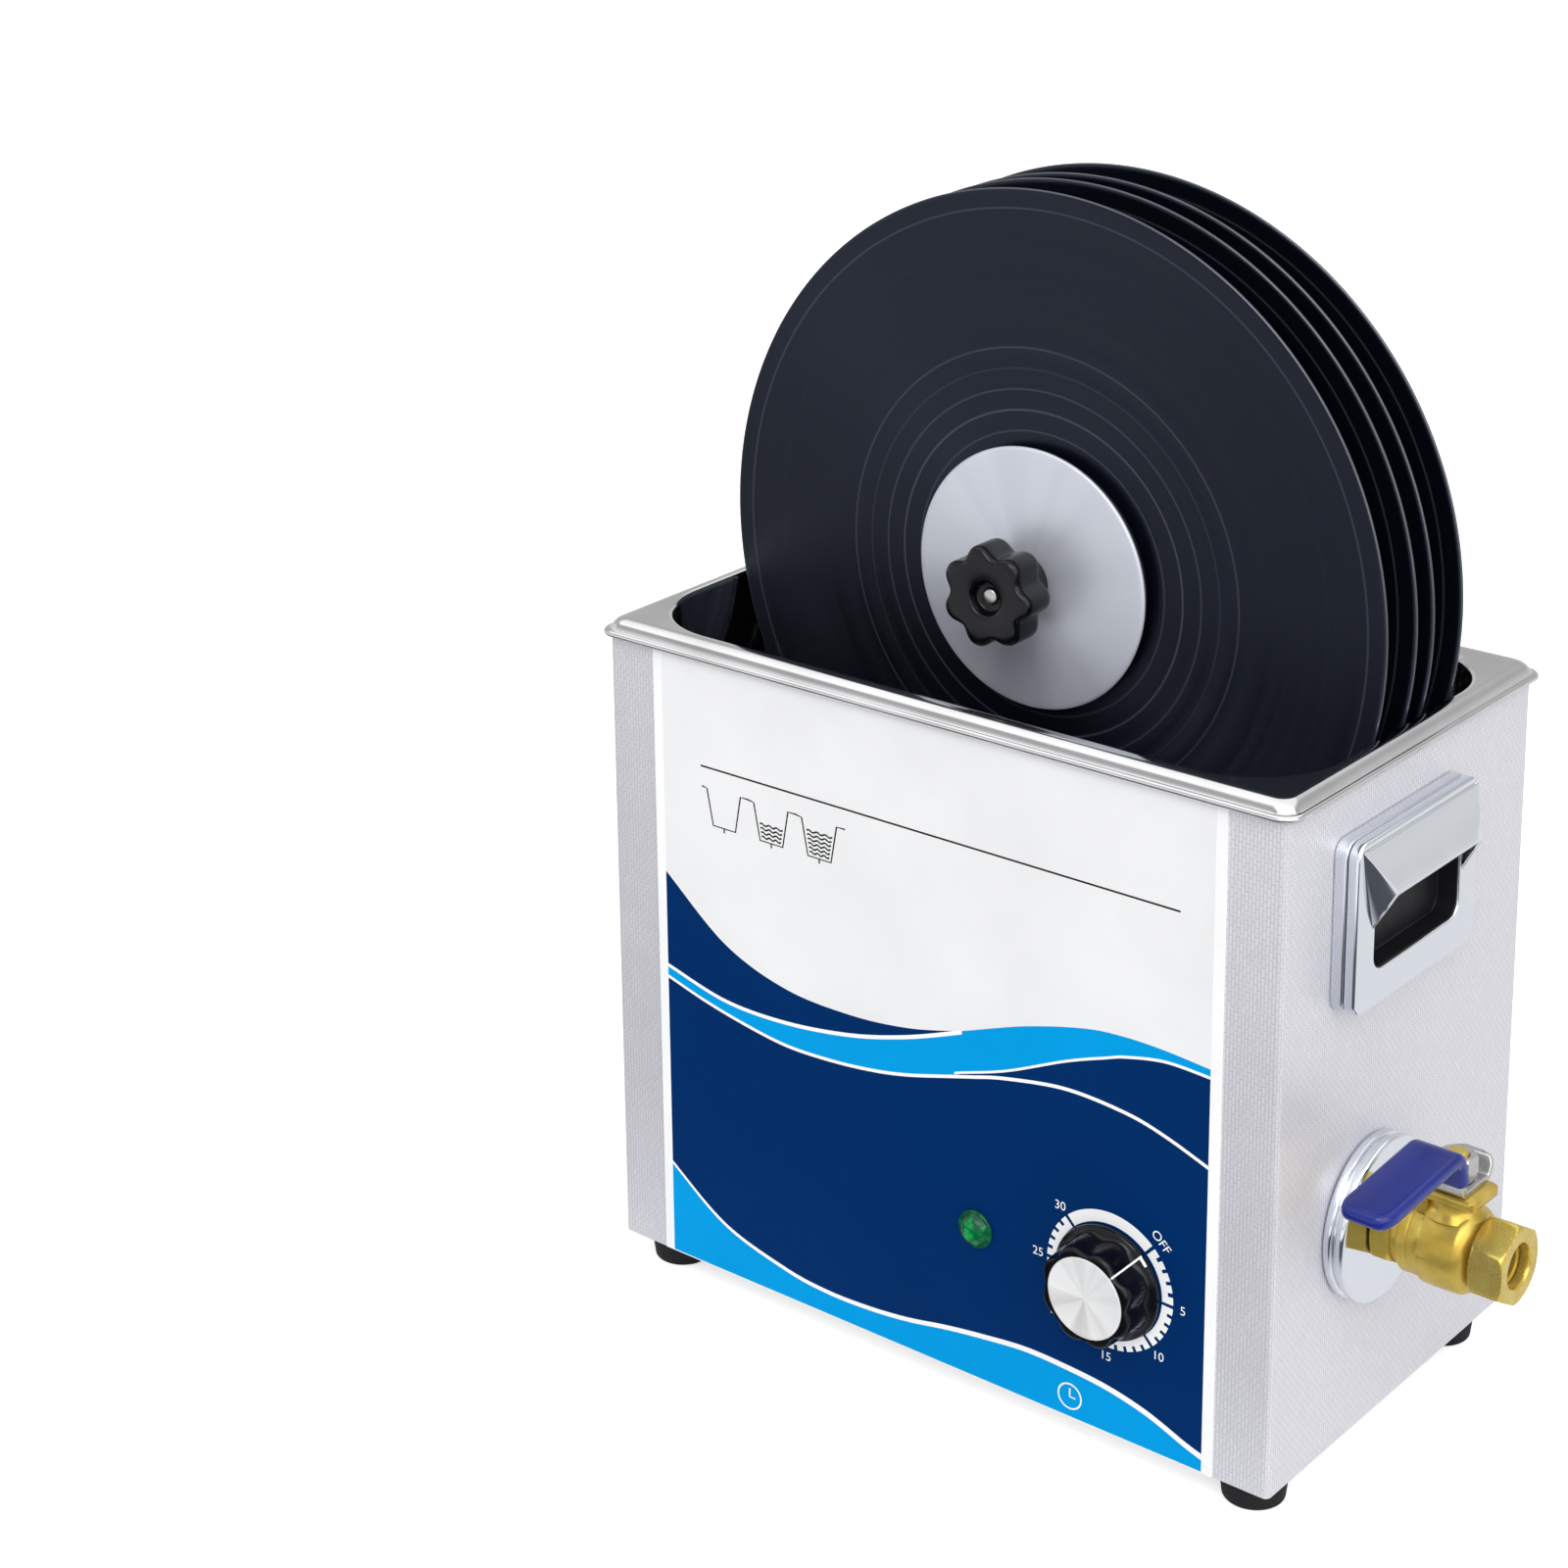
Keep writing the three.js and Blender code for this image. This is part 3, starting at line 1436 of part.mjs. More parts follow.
function spindle() {
  const tip = knobFront - spindleTipInset;
  const rear = motorTip + seat;
  return piece(
    "spindle",
    "steel",
    turned(
      [
        [0, rear],
        [spindleRadius, rear],
        [spindleRadius, tip - chamfer],
        [spindleRadius - chamfer, tip],
        [0, tip],
      ],
      hiddenSides,
    ),
  );
}

function shaftCoupler() {
  const high = motorTip + couplerOverlap;
  const low = motorFace + motorBossLength + couplerGap;
  const profile = [
    [motorShaftRadius + seat, low],
    [couplerRadius, low],
    [couplerRadius, high],
    [spindleRadius + seat, high],
    [spindleRadius + seat, motorTip - seat],
    [motorShaftRadius + seat, motorTip - seat],
    [motorShaftRadius + seat, low],
  ];
  return piece("shaft_coupler", "aluminium", turned(profile, smallSides));
}

function rackBracket() {
  const half = bracketWidth / 2;
  const footLow = rimTop + seat - spindleZ;
  const footHigh = footLow + bracketSheet;
  const face = -(uprightRear - bracketSheet);
  const back = -uprightRear;
  const hookOut = -(rimY + bracketHookGap);
  const outline = new THREE.Shape();
  outline.moveTo(-half, footLow);
  outline.lineTo(half, footLow);
  outline.lineTo(bracketTopRadius, 0);
  outline.absarc(0, 0, bracketTopRadius, 0, Math.PI);
  outline.closePath();
  const upright = plate(outline, back, face, smallSides / 2);
  const footPlate = block([-half, footLow, hookOut - bracketSheet], [half, footHigh, face]);
  const hook = block(
    [-half, footLow - bracketHook, hookOut - bracketSheet],
    [half, footHigh, hookOut],
  );
  const gussets = [-1, 1].map((sign) => {
    const rib = new THREE.Shape();
    rib.moveTo(back + seat, footLow);
    rib.lineTo(back - bracketGusset + seat, footLow);
    rib.lineTo(back + seat, footLow + bracketGusset * 2);
    rib.closePath();
    const inner = sign * (half - bracketSheet / 2);
    return plate(rib, -bracketSheet / 2, bracketSheet / 2)
      .applyMatrix4(new THREE.Matrix4().makeBasis(zAxis, yAxis, xAxis.clone().negate()))
      .translate(inner, 0, 0);
  });
  const hole = bar(motorBossRadius + seat, back - overrun, face + overrun, smallSides);
  return piece("rack_bracket", "stainless", cut(join(upright, footPlate, hook, ...gussets), hole));
}

function gearMotor() {
  const face = motorFace;
  const gearbox = bar(motorFaceRadius, face - gearboxLength, face, roundSides);
  const motorFront = face - gearboxLength;
  const motor = bar(motorRadius, motorFront - motorLength, motorFront + chamfer, roundSides);
  const boss = bar(motorBossRadius, face - chamfer, face + motorBossLength, hiddenSides);
  const shaft = bar(motorShaftRadius, face, motorTip, hiddenSides);
  return piece("gear_motor", "steel", join(gearbox, motor, boss, shaft));
}

const machine = new THREE.Group();
machine.name = "record_cleaning_machine";

machine.add(
  outerCasing(),
  basePlate(),
  foot("foot_front_left", -1, -1),
  foot("foot_front_right", 1, -1),
  foot("foot_rear_left", -1, 1),
  foot("foot_rear_right", 1, 1),
  frontPanel(),
  tank(),
);

machine.add(
  group(facingRight, [sideX, handleY, handleZ], ...handle("right")),
  group(facingLeft, [-sideX, handleY, handleZ], ...handle("left")),
);

machine.add(
  group(
    facingRight,
    [sideX, drainY, drainZ],
    drainElbow(),
    drainEscutcheon(),
    valveBody(),
    valveUnionNut(),
    valveBall(),
    valveStem(),
    valveLever(),
    leverGrip(),
    leverNut(),
  ),
);

machine.add(
  group(facingFront, [dialX, frontY, dialZ], timerBody(), timerShaft(), timerKnob(), knobCap()),
  group(facingFront, [lampX, frontY, lampZ], lampBody(), lampLens()),
);

machine.add(
  group(facingRear, [0, rearPanelFace, 0], rearPanel()),
  group(facingRear, [inletX, rearPanelFace, inletZ], powerInlet()),
  group(facingRear, [switchX, rearPanelFace, switchZ], switchFrame(), rockerButton()),
  group(facingRear, [fanX, rearPanelFace, fanZ], fanFrame(), fanRotor()),
);

[-1, 1].forEach((side, i) => {
  const x = (side * transducerPitch) / 2 - transducerShift;
  machine.add(group(null, [x, transducerY, tankFloor - tankSheet - seat], ...transducer(i + 1)));
});

const boardX = boardEndGap + boardLength / 2 - sideX;
const boardY = frontY + boardFrontGap + boardDepth / 2;
const sinkX = boardX + boardLength / 2 + sinkGap + sinkLength / 2;
const sinkY = frontY + sinkFrontGap + sinkDepth / 2;
machine.add(
  group(null, [boardX, boardY, footHeight + caseSheet], generatorBoard()),
  group(null, [sinkX, sinkY, footHeight + caseSheet], heatSink()),
);

machine.add(
  group(
    facingFront,
    [0, 0, spindleZ],
    rackBracket(),
    gearMotor(),
    shaftCoupler(),
    spindle(),
    rearClampPlate(),
    ...recordPlaces.map((place, i) => record(i + 1, place)),
    ...spacers.map((length, i) => spacer(i + 1, recordPlaces[i] - recordThickness / 2, length)),
    labelSeal(),
    frontClampPlate(),
    clampKnob(),
  ),
);

const reach = new THREE.Box3().setFromObject(machine);
const middle = reach.getCenter(new THREE.Vector3());
machine.position.set(-middle.x, -middle.y, -reach.min.z);

export default machine;
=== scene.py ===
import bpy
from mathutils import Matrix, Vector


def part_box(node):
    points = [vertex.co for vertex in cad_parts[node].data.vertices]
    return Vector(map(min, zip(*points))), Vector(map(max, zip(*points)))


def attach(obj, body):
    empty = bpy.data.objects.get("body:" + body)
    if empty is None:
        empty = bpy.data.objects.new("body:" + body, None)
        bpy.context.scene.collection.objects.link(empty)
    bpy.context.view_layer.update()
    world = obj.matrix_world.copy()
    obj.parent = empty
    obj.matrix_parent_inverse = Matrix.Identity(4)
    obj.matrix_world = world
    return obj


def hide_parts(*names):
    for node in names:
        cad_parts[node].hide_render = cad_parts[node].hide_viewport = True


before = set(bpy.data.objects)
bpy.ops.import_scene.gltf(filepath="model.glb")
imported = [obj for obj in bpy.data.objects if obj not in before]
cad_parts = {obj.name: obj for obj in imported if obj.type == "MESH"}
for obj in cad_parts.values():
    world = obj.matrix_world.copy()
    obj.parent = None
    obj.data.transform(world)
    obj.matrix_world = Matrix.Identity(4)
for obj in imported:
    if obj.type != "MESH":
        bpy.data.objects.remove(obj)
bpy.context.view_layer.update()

# %% [markdown]
# The frame, which is loaded now, holds the solids, the bodies and the joints, and everything below is
# fitted to it. Next come Blender's own modules. Blender counts in metres, but a machine is easier to
# think of in millimetres, so one factor turns these into those wherever a mesh is made.

# %% Blender's own modules
import math

import bmesh
import bpy
from mathutils import Matrix, Vector

MM = 0.001
print("lengths below are in millimetres and become metres when a mesh is made")

# %% [markdown]
# The frame's origin is under the middle of the whole machine, but the pieces are easier to draw from
# the middle of the casing and from its lower edge. That point is read off the casing's own box, and
# everything below is placed from it.

# %% Home point
casing_low, casing_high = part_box("outer_casing")
HOME = Vector(((casing_low.x + casing_high.x) / 2, (casing_low.y + casing_high.y) / 2, casing_low.z))
print("home at", [round(value, 4) for value in HOME])

# %% [markdown]
# The photograph was taken with a long lens from the front right, a little above the machine. A camera
# could be aimed with a Track To constraint, but the picture's own perspective was solved for this one,
# so its place and two of its directions are written out. The lens shift stands for the picture being
# a crop of a larger one.

# %% Camera
CAMERA_PLACE = Vector((0.70015, -1.01959, 0.71938))
LOOKS_ALONG = Vector((-0.61887, 0.73748, -0.27041))
PICTURE_UP = Vector((-0.16220, 0.21686, 0.96263))
camera_data = bpy.data.cameras.new("photo_camera")
camera_data.lens = 76.83
camera_data.sensor_width = 36
camera_data.shift_x = 0.0211
camera_data.shift_y = -0.2484
camera = bpy.data.objects.new("photo_camera", camera_data)
bpy.context.scene.collection.objects.link(camera)
forward = LOOKS_ALONG.normalized()
right = forward.cross(PICTURE_UP.normalized()).normalized()
camera_axes = Matrix((right, right.cross(forward), -forward)).transposed().to_4x4()
camera.matrix_world = Matrix.Translation(HOME + CAMERA_PLACE) @ camera_axes
bpy.context.scene.camera = camera
print("camera at", [round(value, 3) for value in camera.location])

# %% [markdown]
# The sky, the floor and every finish are built from nodes, so one helper makes a node for any of them.
# It takes what goes into the node's sockets, either another node's output or a plain value, and the
# node's own settings. The second helper joins values by a sum or a product, and the third turns a
# value into a row of colours.


# %% Node helpers
def node(holder, kind, inputs=(), **settings):
    made = holder.node_tree.nodes.new(kind)
    for key, value in settings.items():
        socket = key.replace("_", " ")
        if socket in made.inputs:
            made.inputs[socket].default_value = value
        else:
            setattr(made, key, value)
    for socket, source in inputs:
        if isinstance(source, bpy.types.NodeSocket):
            holder.node_tree.links.new(source, made.inputs[socket])
        else:
            made.inputs[socket].default_value = source
    return made


def reckon(holder, operation, *values):
    return node(holder, "ShaderNodeMath", enumerate(values), operation=operation).outputs[0]


def color_row(holder, source, stops):
    made = node(holder, "ShaderNodeValToRGB", [("Fac", source)])
    row = made.color_ramp
    while len(row.elements) < len(stops):
        row.elements.new(1.0)
    for element, (position, color) in zip(row.elements, stops):
        element.position = position
        element.color = (*color, 1)
    return made.outputs["Color"]


print("node helpers ready")

# %% [markdown]
# The machine stands on a white sweep under soft light. Area lamps would leave a bright pool on the
# floor, so two broad suns and an even sky light it instead: the sky is plain white where the camera
# sees it. Polished metal sees more. Behind the machine it sees a grey sweep that turns bright overhead,
# and behind the camera a room with a dark line just over the horizon, a dark band higher up and the
# lamps above that. Those bands are what make chrome look like chrome.

# %% Sky
world = bpy.data.worlds.new("studio_sky")
bpy.context.scene.world = world
world.use_nodes = True
world.node_tree.nodes.clear()
sky_ray = node(world, "ShaderNodeLightPath").outputs
direction = node(world, "ShaderNodeTexCoord").outputs["Generated"]
toward = node(world, "ShaderNodeSeparateXYZ", [(0, direction)]).outputs


def studio_wall(tones):
    return color_row(world, toward["Z"], [(height, (value,) * 3) for height, value in tones])


sweep_tones = [(0.0, 0.47), (0.12, 0.51), (0.36, 0.36), (0.54, 0.39), (0.7, 0.85), (1.0, 0.9)]
room_tones = [(0.0, 0.6), (0.05, 0.45), (0.12, 0.63), (0.3, 0.7), (0.4, 0.6)]
room_tones += [(0.47, 0.35), (0.6, 0.35), (0.67, 1.0)]
sweep_share = node(world, "ShaderNodeMapRange", [("Value", toward["Y"])], From_Min=-0.25, From_Max=0.25)
both_walls = node(
    world,
    "ShaderNodeMix",
    [(0, sweep_share.outputs[0]), (6, studio_wall(room_tones)), (7, studio_wall(sweep_tones))],
    data_type="RGBA",
)
sky_light = node(world, "ShaderNodeBackground", Color=(0.97, 0.98, 1.0, 1), Strength=0.55)
sky_seen = node(world, "ShaderNodeBackground", Color=(1, 1, 1, 1))
sky_mirror = node(world, "ShaderNodeBackground", [("Color", both_walls.outputs[2])], Strength=1.5)
polished = reckon(world, "MAXIMUM", sky_ray["Is Glossy Ray"], sky_ray["Is Transmission Ray"])
unseen_sky = node(
    world,
    "ShaderNodeMixShader",
    [(0, polished), (1, sky_light.outputs[0]), (2, sky_mirror.outputs[0])],
)
whole_sky = node(
    world,
    "ShaderNodeMixShader",
    [(0, sky_ray["Is Camera Ray"]), (1, unseen_sky.outputs[0]), (2, sky_seen.outputs[0])],
)
node(world, "ShaderNodeOutputWorld", [(0, whole_sky.outputs[0])])
print("sky nodes:", len(world.node_tree.nodes))

# %% [markdown]
# The light itself comes from two suns, the key from the front and above, the fill from the right. A
# softbox could be an area lamp close by. A sun with a wide angle is soft in the same way, and it lights
# every part of the machine and the floor alike.


# %% Suns
def sun(name, heading, strength, spread):
    lamp = bpy.data.lights.new(name, "SUN")
    lamp.energy = strength
    lamp.angle = math.radians(spread)
    holder = bpy.data.objects.new(name, lamp)
    holder.rotation_euler = Vector(heading).to_track_quat("-Z", "Y").to_euler()
    bpy.context.scene.collection.objects.link(holder)
    return holder


sun("key_from_front", (-0.25, 0.68, -0.72), 1.05, 36)
sun("fill_from_right", (-0.85, 0.3, -0.5), 1.3, 60)
bpy.context.scene.view_settings.view_transform = "Standard"
print("suns:", [light.name for light in bpy.data.lights])

# %% [markdown]
# Every finish below is a node material. The helpers keep each one short: a colour is given as it looks
# on screen and turned into the linear value that Blender wants, a texture is read in the object's own
# coordinates so that it stays on the piece when a joint moves, and a bump or a colour change is one
# call. A value that is the same all over is written straight into the shader's socket. Two more serve
# round pieces: one turns the gloss round the piece's axis, the other gives the distance from it.


# %% Material helpers
def linear(color):
    shares = [channel / 255 for channel in color]
    return tuple(s / 12.92 if s <= 0.04045 else ((s + 0.055) / 1.055) ** 2.4 for s in shares)


def finish(name, color, roughness, metallic=0.0, **sockets):
    material = bpy.data.materials.new(name)
    material.use_nodes = True
    shader = material.node_tree.nodes["Principled BSDF"]
    shader.inputs["Base Color"].default_value = (*linear(color), 1)
    shader.inputs["Roughness"].default_value = roughness
    shader.inputs["Metallic"].default_value = metallic
    for socket, value in sockets.items():
        shader.inputs[socket.replace("_", " ")].default_value = value
    return material


def feed(material, socket, source):
    shader = material.node_tree.nodes["Principled BSDF"]
    material.node_tree.links.new(source, shader.inputs[socket])


def own_point(material, stretch=(1, 1, 1)):
    object_point = node(material, "ShaderNodeTexCoord").outputs["Object"]
    return node(material, "ShaderNodeMapping", [("Vector", object_point)], Scale=stretch).outputs[0]


def noise(material, size, stretch=(1, 1, 1), detail=3.0):
    made = node(
        material,
        "ShaderNodeTexNoise",
        [("Vector", own_point(material, stretch))],
        Scale=1 / (size * MM),
        Detail=detail,
    )
    return made.outputs[0]


def ramp(material, source, stops):
    return color_row(material, source, [(position, linear(color)) for position, color in stops])


def grey_ramp(material, source, low, high, start=0.3, end=0.7):
    limits = {"From_Min": start, "From_Max": end, "To_Min": low, "To_Max": high}
    return node(material, "ShaderNodeMapRange", [("Value", source)], **limits).outputs[0]


def bump(material, height, depth, strength):
    made = node(
        material, "ShaderNodeBump", [("Height", height)], Strength=strength, Distance=depth * MM
    )
    return made.outputs[0]


def turned_tangent(material):
    around = node(material, "ShaderNodeTangent", direction_type="RADIAL", axis="Z")
    feed(material, "Tangent", around.outputs[0])


def from_axis(material):
    flat = own_point(material, (1, 1, 0))
    return node(material, "ShaderNodeVectorMath", [(0, flat)], operation="LENGTH").outputs["Value"]


print("material helpers ready")

# %% [markdown]
# The casing is stainless sheet rolled with a linen pattern: columns of tiny upright bricks, each column
# set off by half a brick. A Brick texture draws just that. It wants a flat coordinate, so x and y are
# added for the way along the sheet, which works on the front and on both sides alike.

# %% Linen-rolled stainless
linen_steel = finish("linen_steel", (224, 224, 228), 0.42, 0.3)
linen_point = node(linen_steel, "ShaderNodeSeparateXYZ", [("Vector", own_point(linen_steel))]).outputs
along_sheet = reckon(linen_steel, "ADD", linen_point["X"], linen_point["Y"])
sheet_point = node(linen_steel, "ShaderNodeCombineXYZ", [("X", linen_point["Z"]), ("Y", along_sheet)])
bricks = node(
    linen_steel,
    "ShaderNodeTexBrick",
    [("Vector", sheet_point.outputs[0])],
    offset=0.5,
    Color1=(*linear((226, 225, 230)), 1),
    Color2=(*linear((220, 219, 225)), 1),
    Mortar=(*linear((202, 201, 208)), 1),
    Scale=1 / MM,
    Brick_Width=3.6,
    Row_Height=1.5,
    Mortar_Size=0.3,
    Mortar_Smooth=0.7,
)
feed(linen_steel, "Base Color", bricks.outputs["Color"])
linen_height = reckon(linen_steel, "SUBTRACT", 1.0, bricks.outputs["Fac"])
feed(linen_steel, "Normal", bump(linen_steel, linen_height, 0.12, 0.55))
feed(linen_steel, "Roughness", grey_ramp(linen_steel, noise(linen_steel, 30), 0.36, 0.48))
print(linen_steel.name)

# %% [markdown]
# The tank and its rim are bright rolled stainless. Its fine lines run along the machine, so the noise is
# stretched far along x, and the same lines shift the roughness a little. The rack's bracket is cut from
# the same sheet.

# %% Bright stainless
bright_steel = finish("bright_steel", (214, 214, 216), 0.24, 1.0, Anisotropic=0.3)
rolled_lines = noise(bright_steel, 0.5, (0.02, 1, 1), 5.0)
feed(bright_steel, "Roughness", grey_ramp(bright_steel, rolled_lines, 0.1, 0.16))
feed(bright_steel, "Normal", bump(bright_steel, rolled_lines, 0.008, 0.15))
stains = ramp(
    bright_steel, noise(bright_steel, 45), [(0.3, (206, 206, 207)), (0.7, (222, 222, 224))]
)
feed(bright_steel, "Base Color", stains)
print(bright_steel.name)

# %% [markdown]
# The front carries a printed polyester film. Film and inks share one surface, smooth with a very faint
# orange peel, so one function makes them all and only the colour changes.


# %% Film and its inks
def printed(name, color):
    material = finish(name, color, 0.32, 0.0, Specular_IOR_Level=0.03)
    peel = noise(material, 1.6)
    feed(material, "Normal", bump(material, peel, 0.015, 0.35))
    darker = tuple(round(channel * 0.975) for channel in color)
    feed(material, "Base Color", ramp(material, noise(material, 60), [(0.35, darker), (0.65, color)]))
    return material


film_clear = printed("film_clear", (253, 253, 253))
film_white = printed("film_white", (241, 241, 241))
ink_navy = printed("ink_navy", (0, 46, 103))
ink_cyan = printed("ink_cyan", (0, 159, 229))
ink_white = printed("ink_white", (255, 255, 255))
ink_black = printed("ink_black", (40, 40, 42))
print("film edge, film ground and four inks")

# %% [markdown]
# Chrome on cheap fittings is bright but clouded. The cloud is a broad noise in the roughness, and the
# colour stays close to white. Brass is dull where it is cast and brighter where a tool has turned it,
# so there are two brasses, which differ in colour, in gloss and in the size and depth of their bump.


# %% Chrome and brass
clouded_chrome = finish("clouded_chrome", (230, 234, 240), 0.1, 1.0)
cloud = noise(clouded_chrome, 14)
feed(clouded_chrome, "Roughness", grey_ramp(clouded_chrome, cloud, 0.05, 0.14))
feed(clouded_chrome, "Normal", bump(clouded_chrome, noise(clouded_chrome, 16), 0.02, 0.1))


def brass(name, light, dark, grain_size, grain_depth, low, high):
    material = finish(name, light, low, 0.7)
    feed(material, "Base Color", ramp(material, noise(material, 9), [(0.3, dark), (0.7, light)]))
    grain = noise(material, grain_size, detail=6.0)
    feed(material, "Normal", bump(material, grain, grain_depth, 0.5))
    feed(material, "Roughness", grey_ramp(material, grain, low, high))
    return material


cast_brass = brass("cast_brass", (216, 190, 92), (188, 159, 64), 0.5, 0.05, 0.3, 0.42)
turned_brass = brass("turned_brass", (222, 200, 108), (198, 172, 78), 0.3, 0.012, 0.2, 0.3)
print(clouded_chrome.name, cast_brass.name, turned_brass.name)

# %% [markdown]
# Plain steel parts are zinc plated or turned, aluminium ones are turned or bead-blasted. All of them are
# metals with a fine bump: only colour, roughness and the size of the marks differ.


# %% Steel and aluminium
def worked_metal(name, color, low, high, size, depth, stretch=(1, 1, 1)):
    material = finish(name, color, low, 1.0)
    marks = noise(material, size, stretch, 4.0)
    feed(material, "Roughness", grey_ramp(material, marks, low, high))
    feed(material, "Normal", bump(material, marks, depth, 0.4))
    darker = tuple(round(channel * 0.93) for channel in color)
    feed(material, "Base Color", ramp(material, noise(material, 20), [(0.3, darker), (0.7, color)]))
    return material


plated_steel = worked_metal("plated_steel", (206, 206, 205), 0.2, 0.3, 4.0, 0.01)
turned_steel = worked_metal("turned_steel", (190, 190, 189), 0.2, 0.3, 0.5, 0.006, (1, 1, 6))
blasted_aluminium = worked_metal("blasted_aluminium", (196, 197, 201), 0.34, 0.46, 0.4, 0.03)
print("three worked metals")

# %% [markdown]
# The timer's cap and the clamp plates are turned on a lathe. The tool leaves rings, and the rings spread
# a highlight into the bright wedges that a turned disc always shows. Anisotropy with a radial tangent
# does part of this, and a noise read from the bearing alone, so that it is the same all the way from the
# middle to the edge, paints the finer wedges into the colour as painted highlight and painted shade. The
# rings are a Wave texture, whose light and dark lines are each about 0.16 m wide at a scale of 1.

# %% Lathe-turned faces
WAVE_LINE = 0.16


def lathe_face(name, color, shade, roughness, metallic, line_width, depth):
    material = finish(name, color, roughness, metallic, Anisotropic=0.7)
    turned_tangent(material)
    rings = node(
        material,
        "ShaderNodeTexWave",
        [("Vector", own_point(material))],
        wave_type="RINGS",
        rings_direction="Z",
        Scale=WAVE_LINE / (line_width * MM),
        Distortion=0.6,
    )
    feed(material, "Normal", bump(material, rings.outputs["Fac"], depth, 0.3))
    flat = own_point(material, (1, 1, 0))
    bearing = node(material, "ShaderNodeVectorMath", [(0, flat)], operation="NORMALIZE")
    painted_wedges = node(
        material, "ShaderNodeTexNoise", [("Vector", bearing.outputs[0])], Scale=1.3, Detail=2.0
    )
    # The wedges are painted into the colour: bright painted highlight, with the shade colour between them
    # as painted shade.
    feed(material, "Base Color", ramp(material, painted_wedges.outputs[0], [(0.36, shade), (0.56, color)]))
    return material


spun_cap = lathe_face("spun_cap", (255, 255, 254), (226, 224, 222), 0.34, 0.25, 0.5, 0.008)
satin_plate = lathe_face("satin_plate", (208, 212, 221), (194, 198, 209), 0.46, 0.4, 0.4, 0.008)
print(spun_cap.name, satin_plate.name)

# %% [markdown]
# Black parts come in three finishes: glossy knobs with faint flow marks, finely sparked moulded plastic,
# and matt rubber. The blue grip is vinyl that the hot lever was dipped in, so it has a thick, glossy and
# slightly wavy skin.


# %% Plastics and rubber
def moulded(name, color, low, high, size, depth, strength, **sockets):
    material = finish(name, color, low, 0.0, **sockets)
    texture = noise(material, size, detail=4.0)
    feed(material, "Normal", bump(material, texture, depth, strength))
    feed(material, "Roughness", grey_ramp(material, noise(material, 12), low, high))
    lighter = tuple(min(255, round(channel * 1.12) + 2) for channel in color)
    feed(material, "Base Color", ramp(material, noise(material, 25), [(0.35, color), (0.7, lighter)]))
    return material


glossy_black = moulded("glossy_black", (6, 7, 13), 0.16, 0.26, 6, 0.04, 0.2, Specular_IOR_Level=0.28)
sparked_black = moulded("sparked_black", (20, 20, 24), 0.42, 0.55, 0.4, 0.05, 0.5, Specular_IOR_Level=0.25)
foot_rubber = moulded("foot_rubber", (20, 20, 24), 0.6, 0.75, 0.8, 0.08, 0.5, Specular_IOR_Level=0.3)
dipped_vinyl = moulded("dipped_vinyl", (20, 35, 118), 0.16, 0.24, 11, 0.2, 0.2, Specular_IOR_Level=0.4)
print("three blacks and the vinyl")

# %% [markdown]
# A record's groove is far finer than a pixel, so what the eye sees is its average: a bow-tie of light
# across the disc, a soft banding from loud and quiet passages, and smooth shiny rings where one track
# ends. The distance from the axis drives all of it. Anisotropy gives the bow-tie, a one-dimensional
# noise gives the banding, and a ramp paints the smooth rings lighter at their measured radii: their
# shine is a painted highlight in the colour.

# %% Vinyl record
RAMP_REACH = 160.0
RING_HALF = 0.35
ring_highlight_levels = {57: 1.0, 65: 1.0, 73: 1.0, 81.5: 1.0, 89.5: 1.0, 127: 0.3, 143: 1.0}
record_vinyl = finish(
    "record_vinyl",
    (10, 12, 20),
    0.46,
    Anisotropic=0.85,
    Specular_IOR_Level=0.4,
    Specular_Tint=(0.62, 0.72, 1, 1),
)
turned_tangent(record_vinyl)
radius_share = reckon(record_vinyl, "MULTIPLY", from_axis(record_vinyl), 1 / (RAMP_REACH * MM))
# The ring stops paint each smooth ring lighter in the colour, a painted highlight.
ring_highlight_stops = [(0.0, (0, 0, 0))]
for radius, level in ring_highlight_levels.items():
    ring_highlight_stops.append(((radius - RING_HALF) / RAMP_REACH, (0, 0, 0)))
    ring_highlight_stops.append((radius / RAMP_REACH, (round(255 * level),) * 3))
    ring_highlight_stops.append(((radius + RING_HALF) / RAMP_REACH, (0, 0, 0)))
ring_highlight_share = ramp(record_vinyl, radius_share, ring_highlight_stops)
passages = node(
    record_vinyl,
    "ShaderNodeTexNoise",
    [("W", radius_share)],
    noise_dimensions="1D",
    Scale=26.0,
    Detail=6.0,
).outputs[0]
vinyl_tone = ramp(record_vinyl, passages, [(0.3, (3, 5, 12)), (0.7, (7, 10, 20))])
vinyl_with_painted_rings = node(
    record_vinyl,
    "ShaderNodeMix",
    [(0, ring_highlight_share), (6, vinyl_tone), (7, (*linear((66, 68, 80)), 1))],
    data_type="RGBA",
)
feed(record_vinyl, "Base Color", vinyl_with_painted_rings.outputs[2])
feed(record_vinyl, "Roughness", grey_ramp(record_vinyl, passages, 0.38, 0.48))
feed(record_vinyl, "Normal", bump(record_vinyl, passages, 0.04, 0.25))
# The bead's skin is painted a lighter grey than the vinyl, a painted highlight for the bright lines at the
# records' edges.
record_bead_glint = moulded("record_bead_glint", (52, 55, 66), 0.22, 0.32, 4, 0.02, 0.2, Specular_IOR_Level=0.8)
print("smooth rings at", list(ring_highlight_levels))
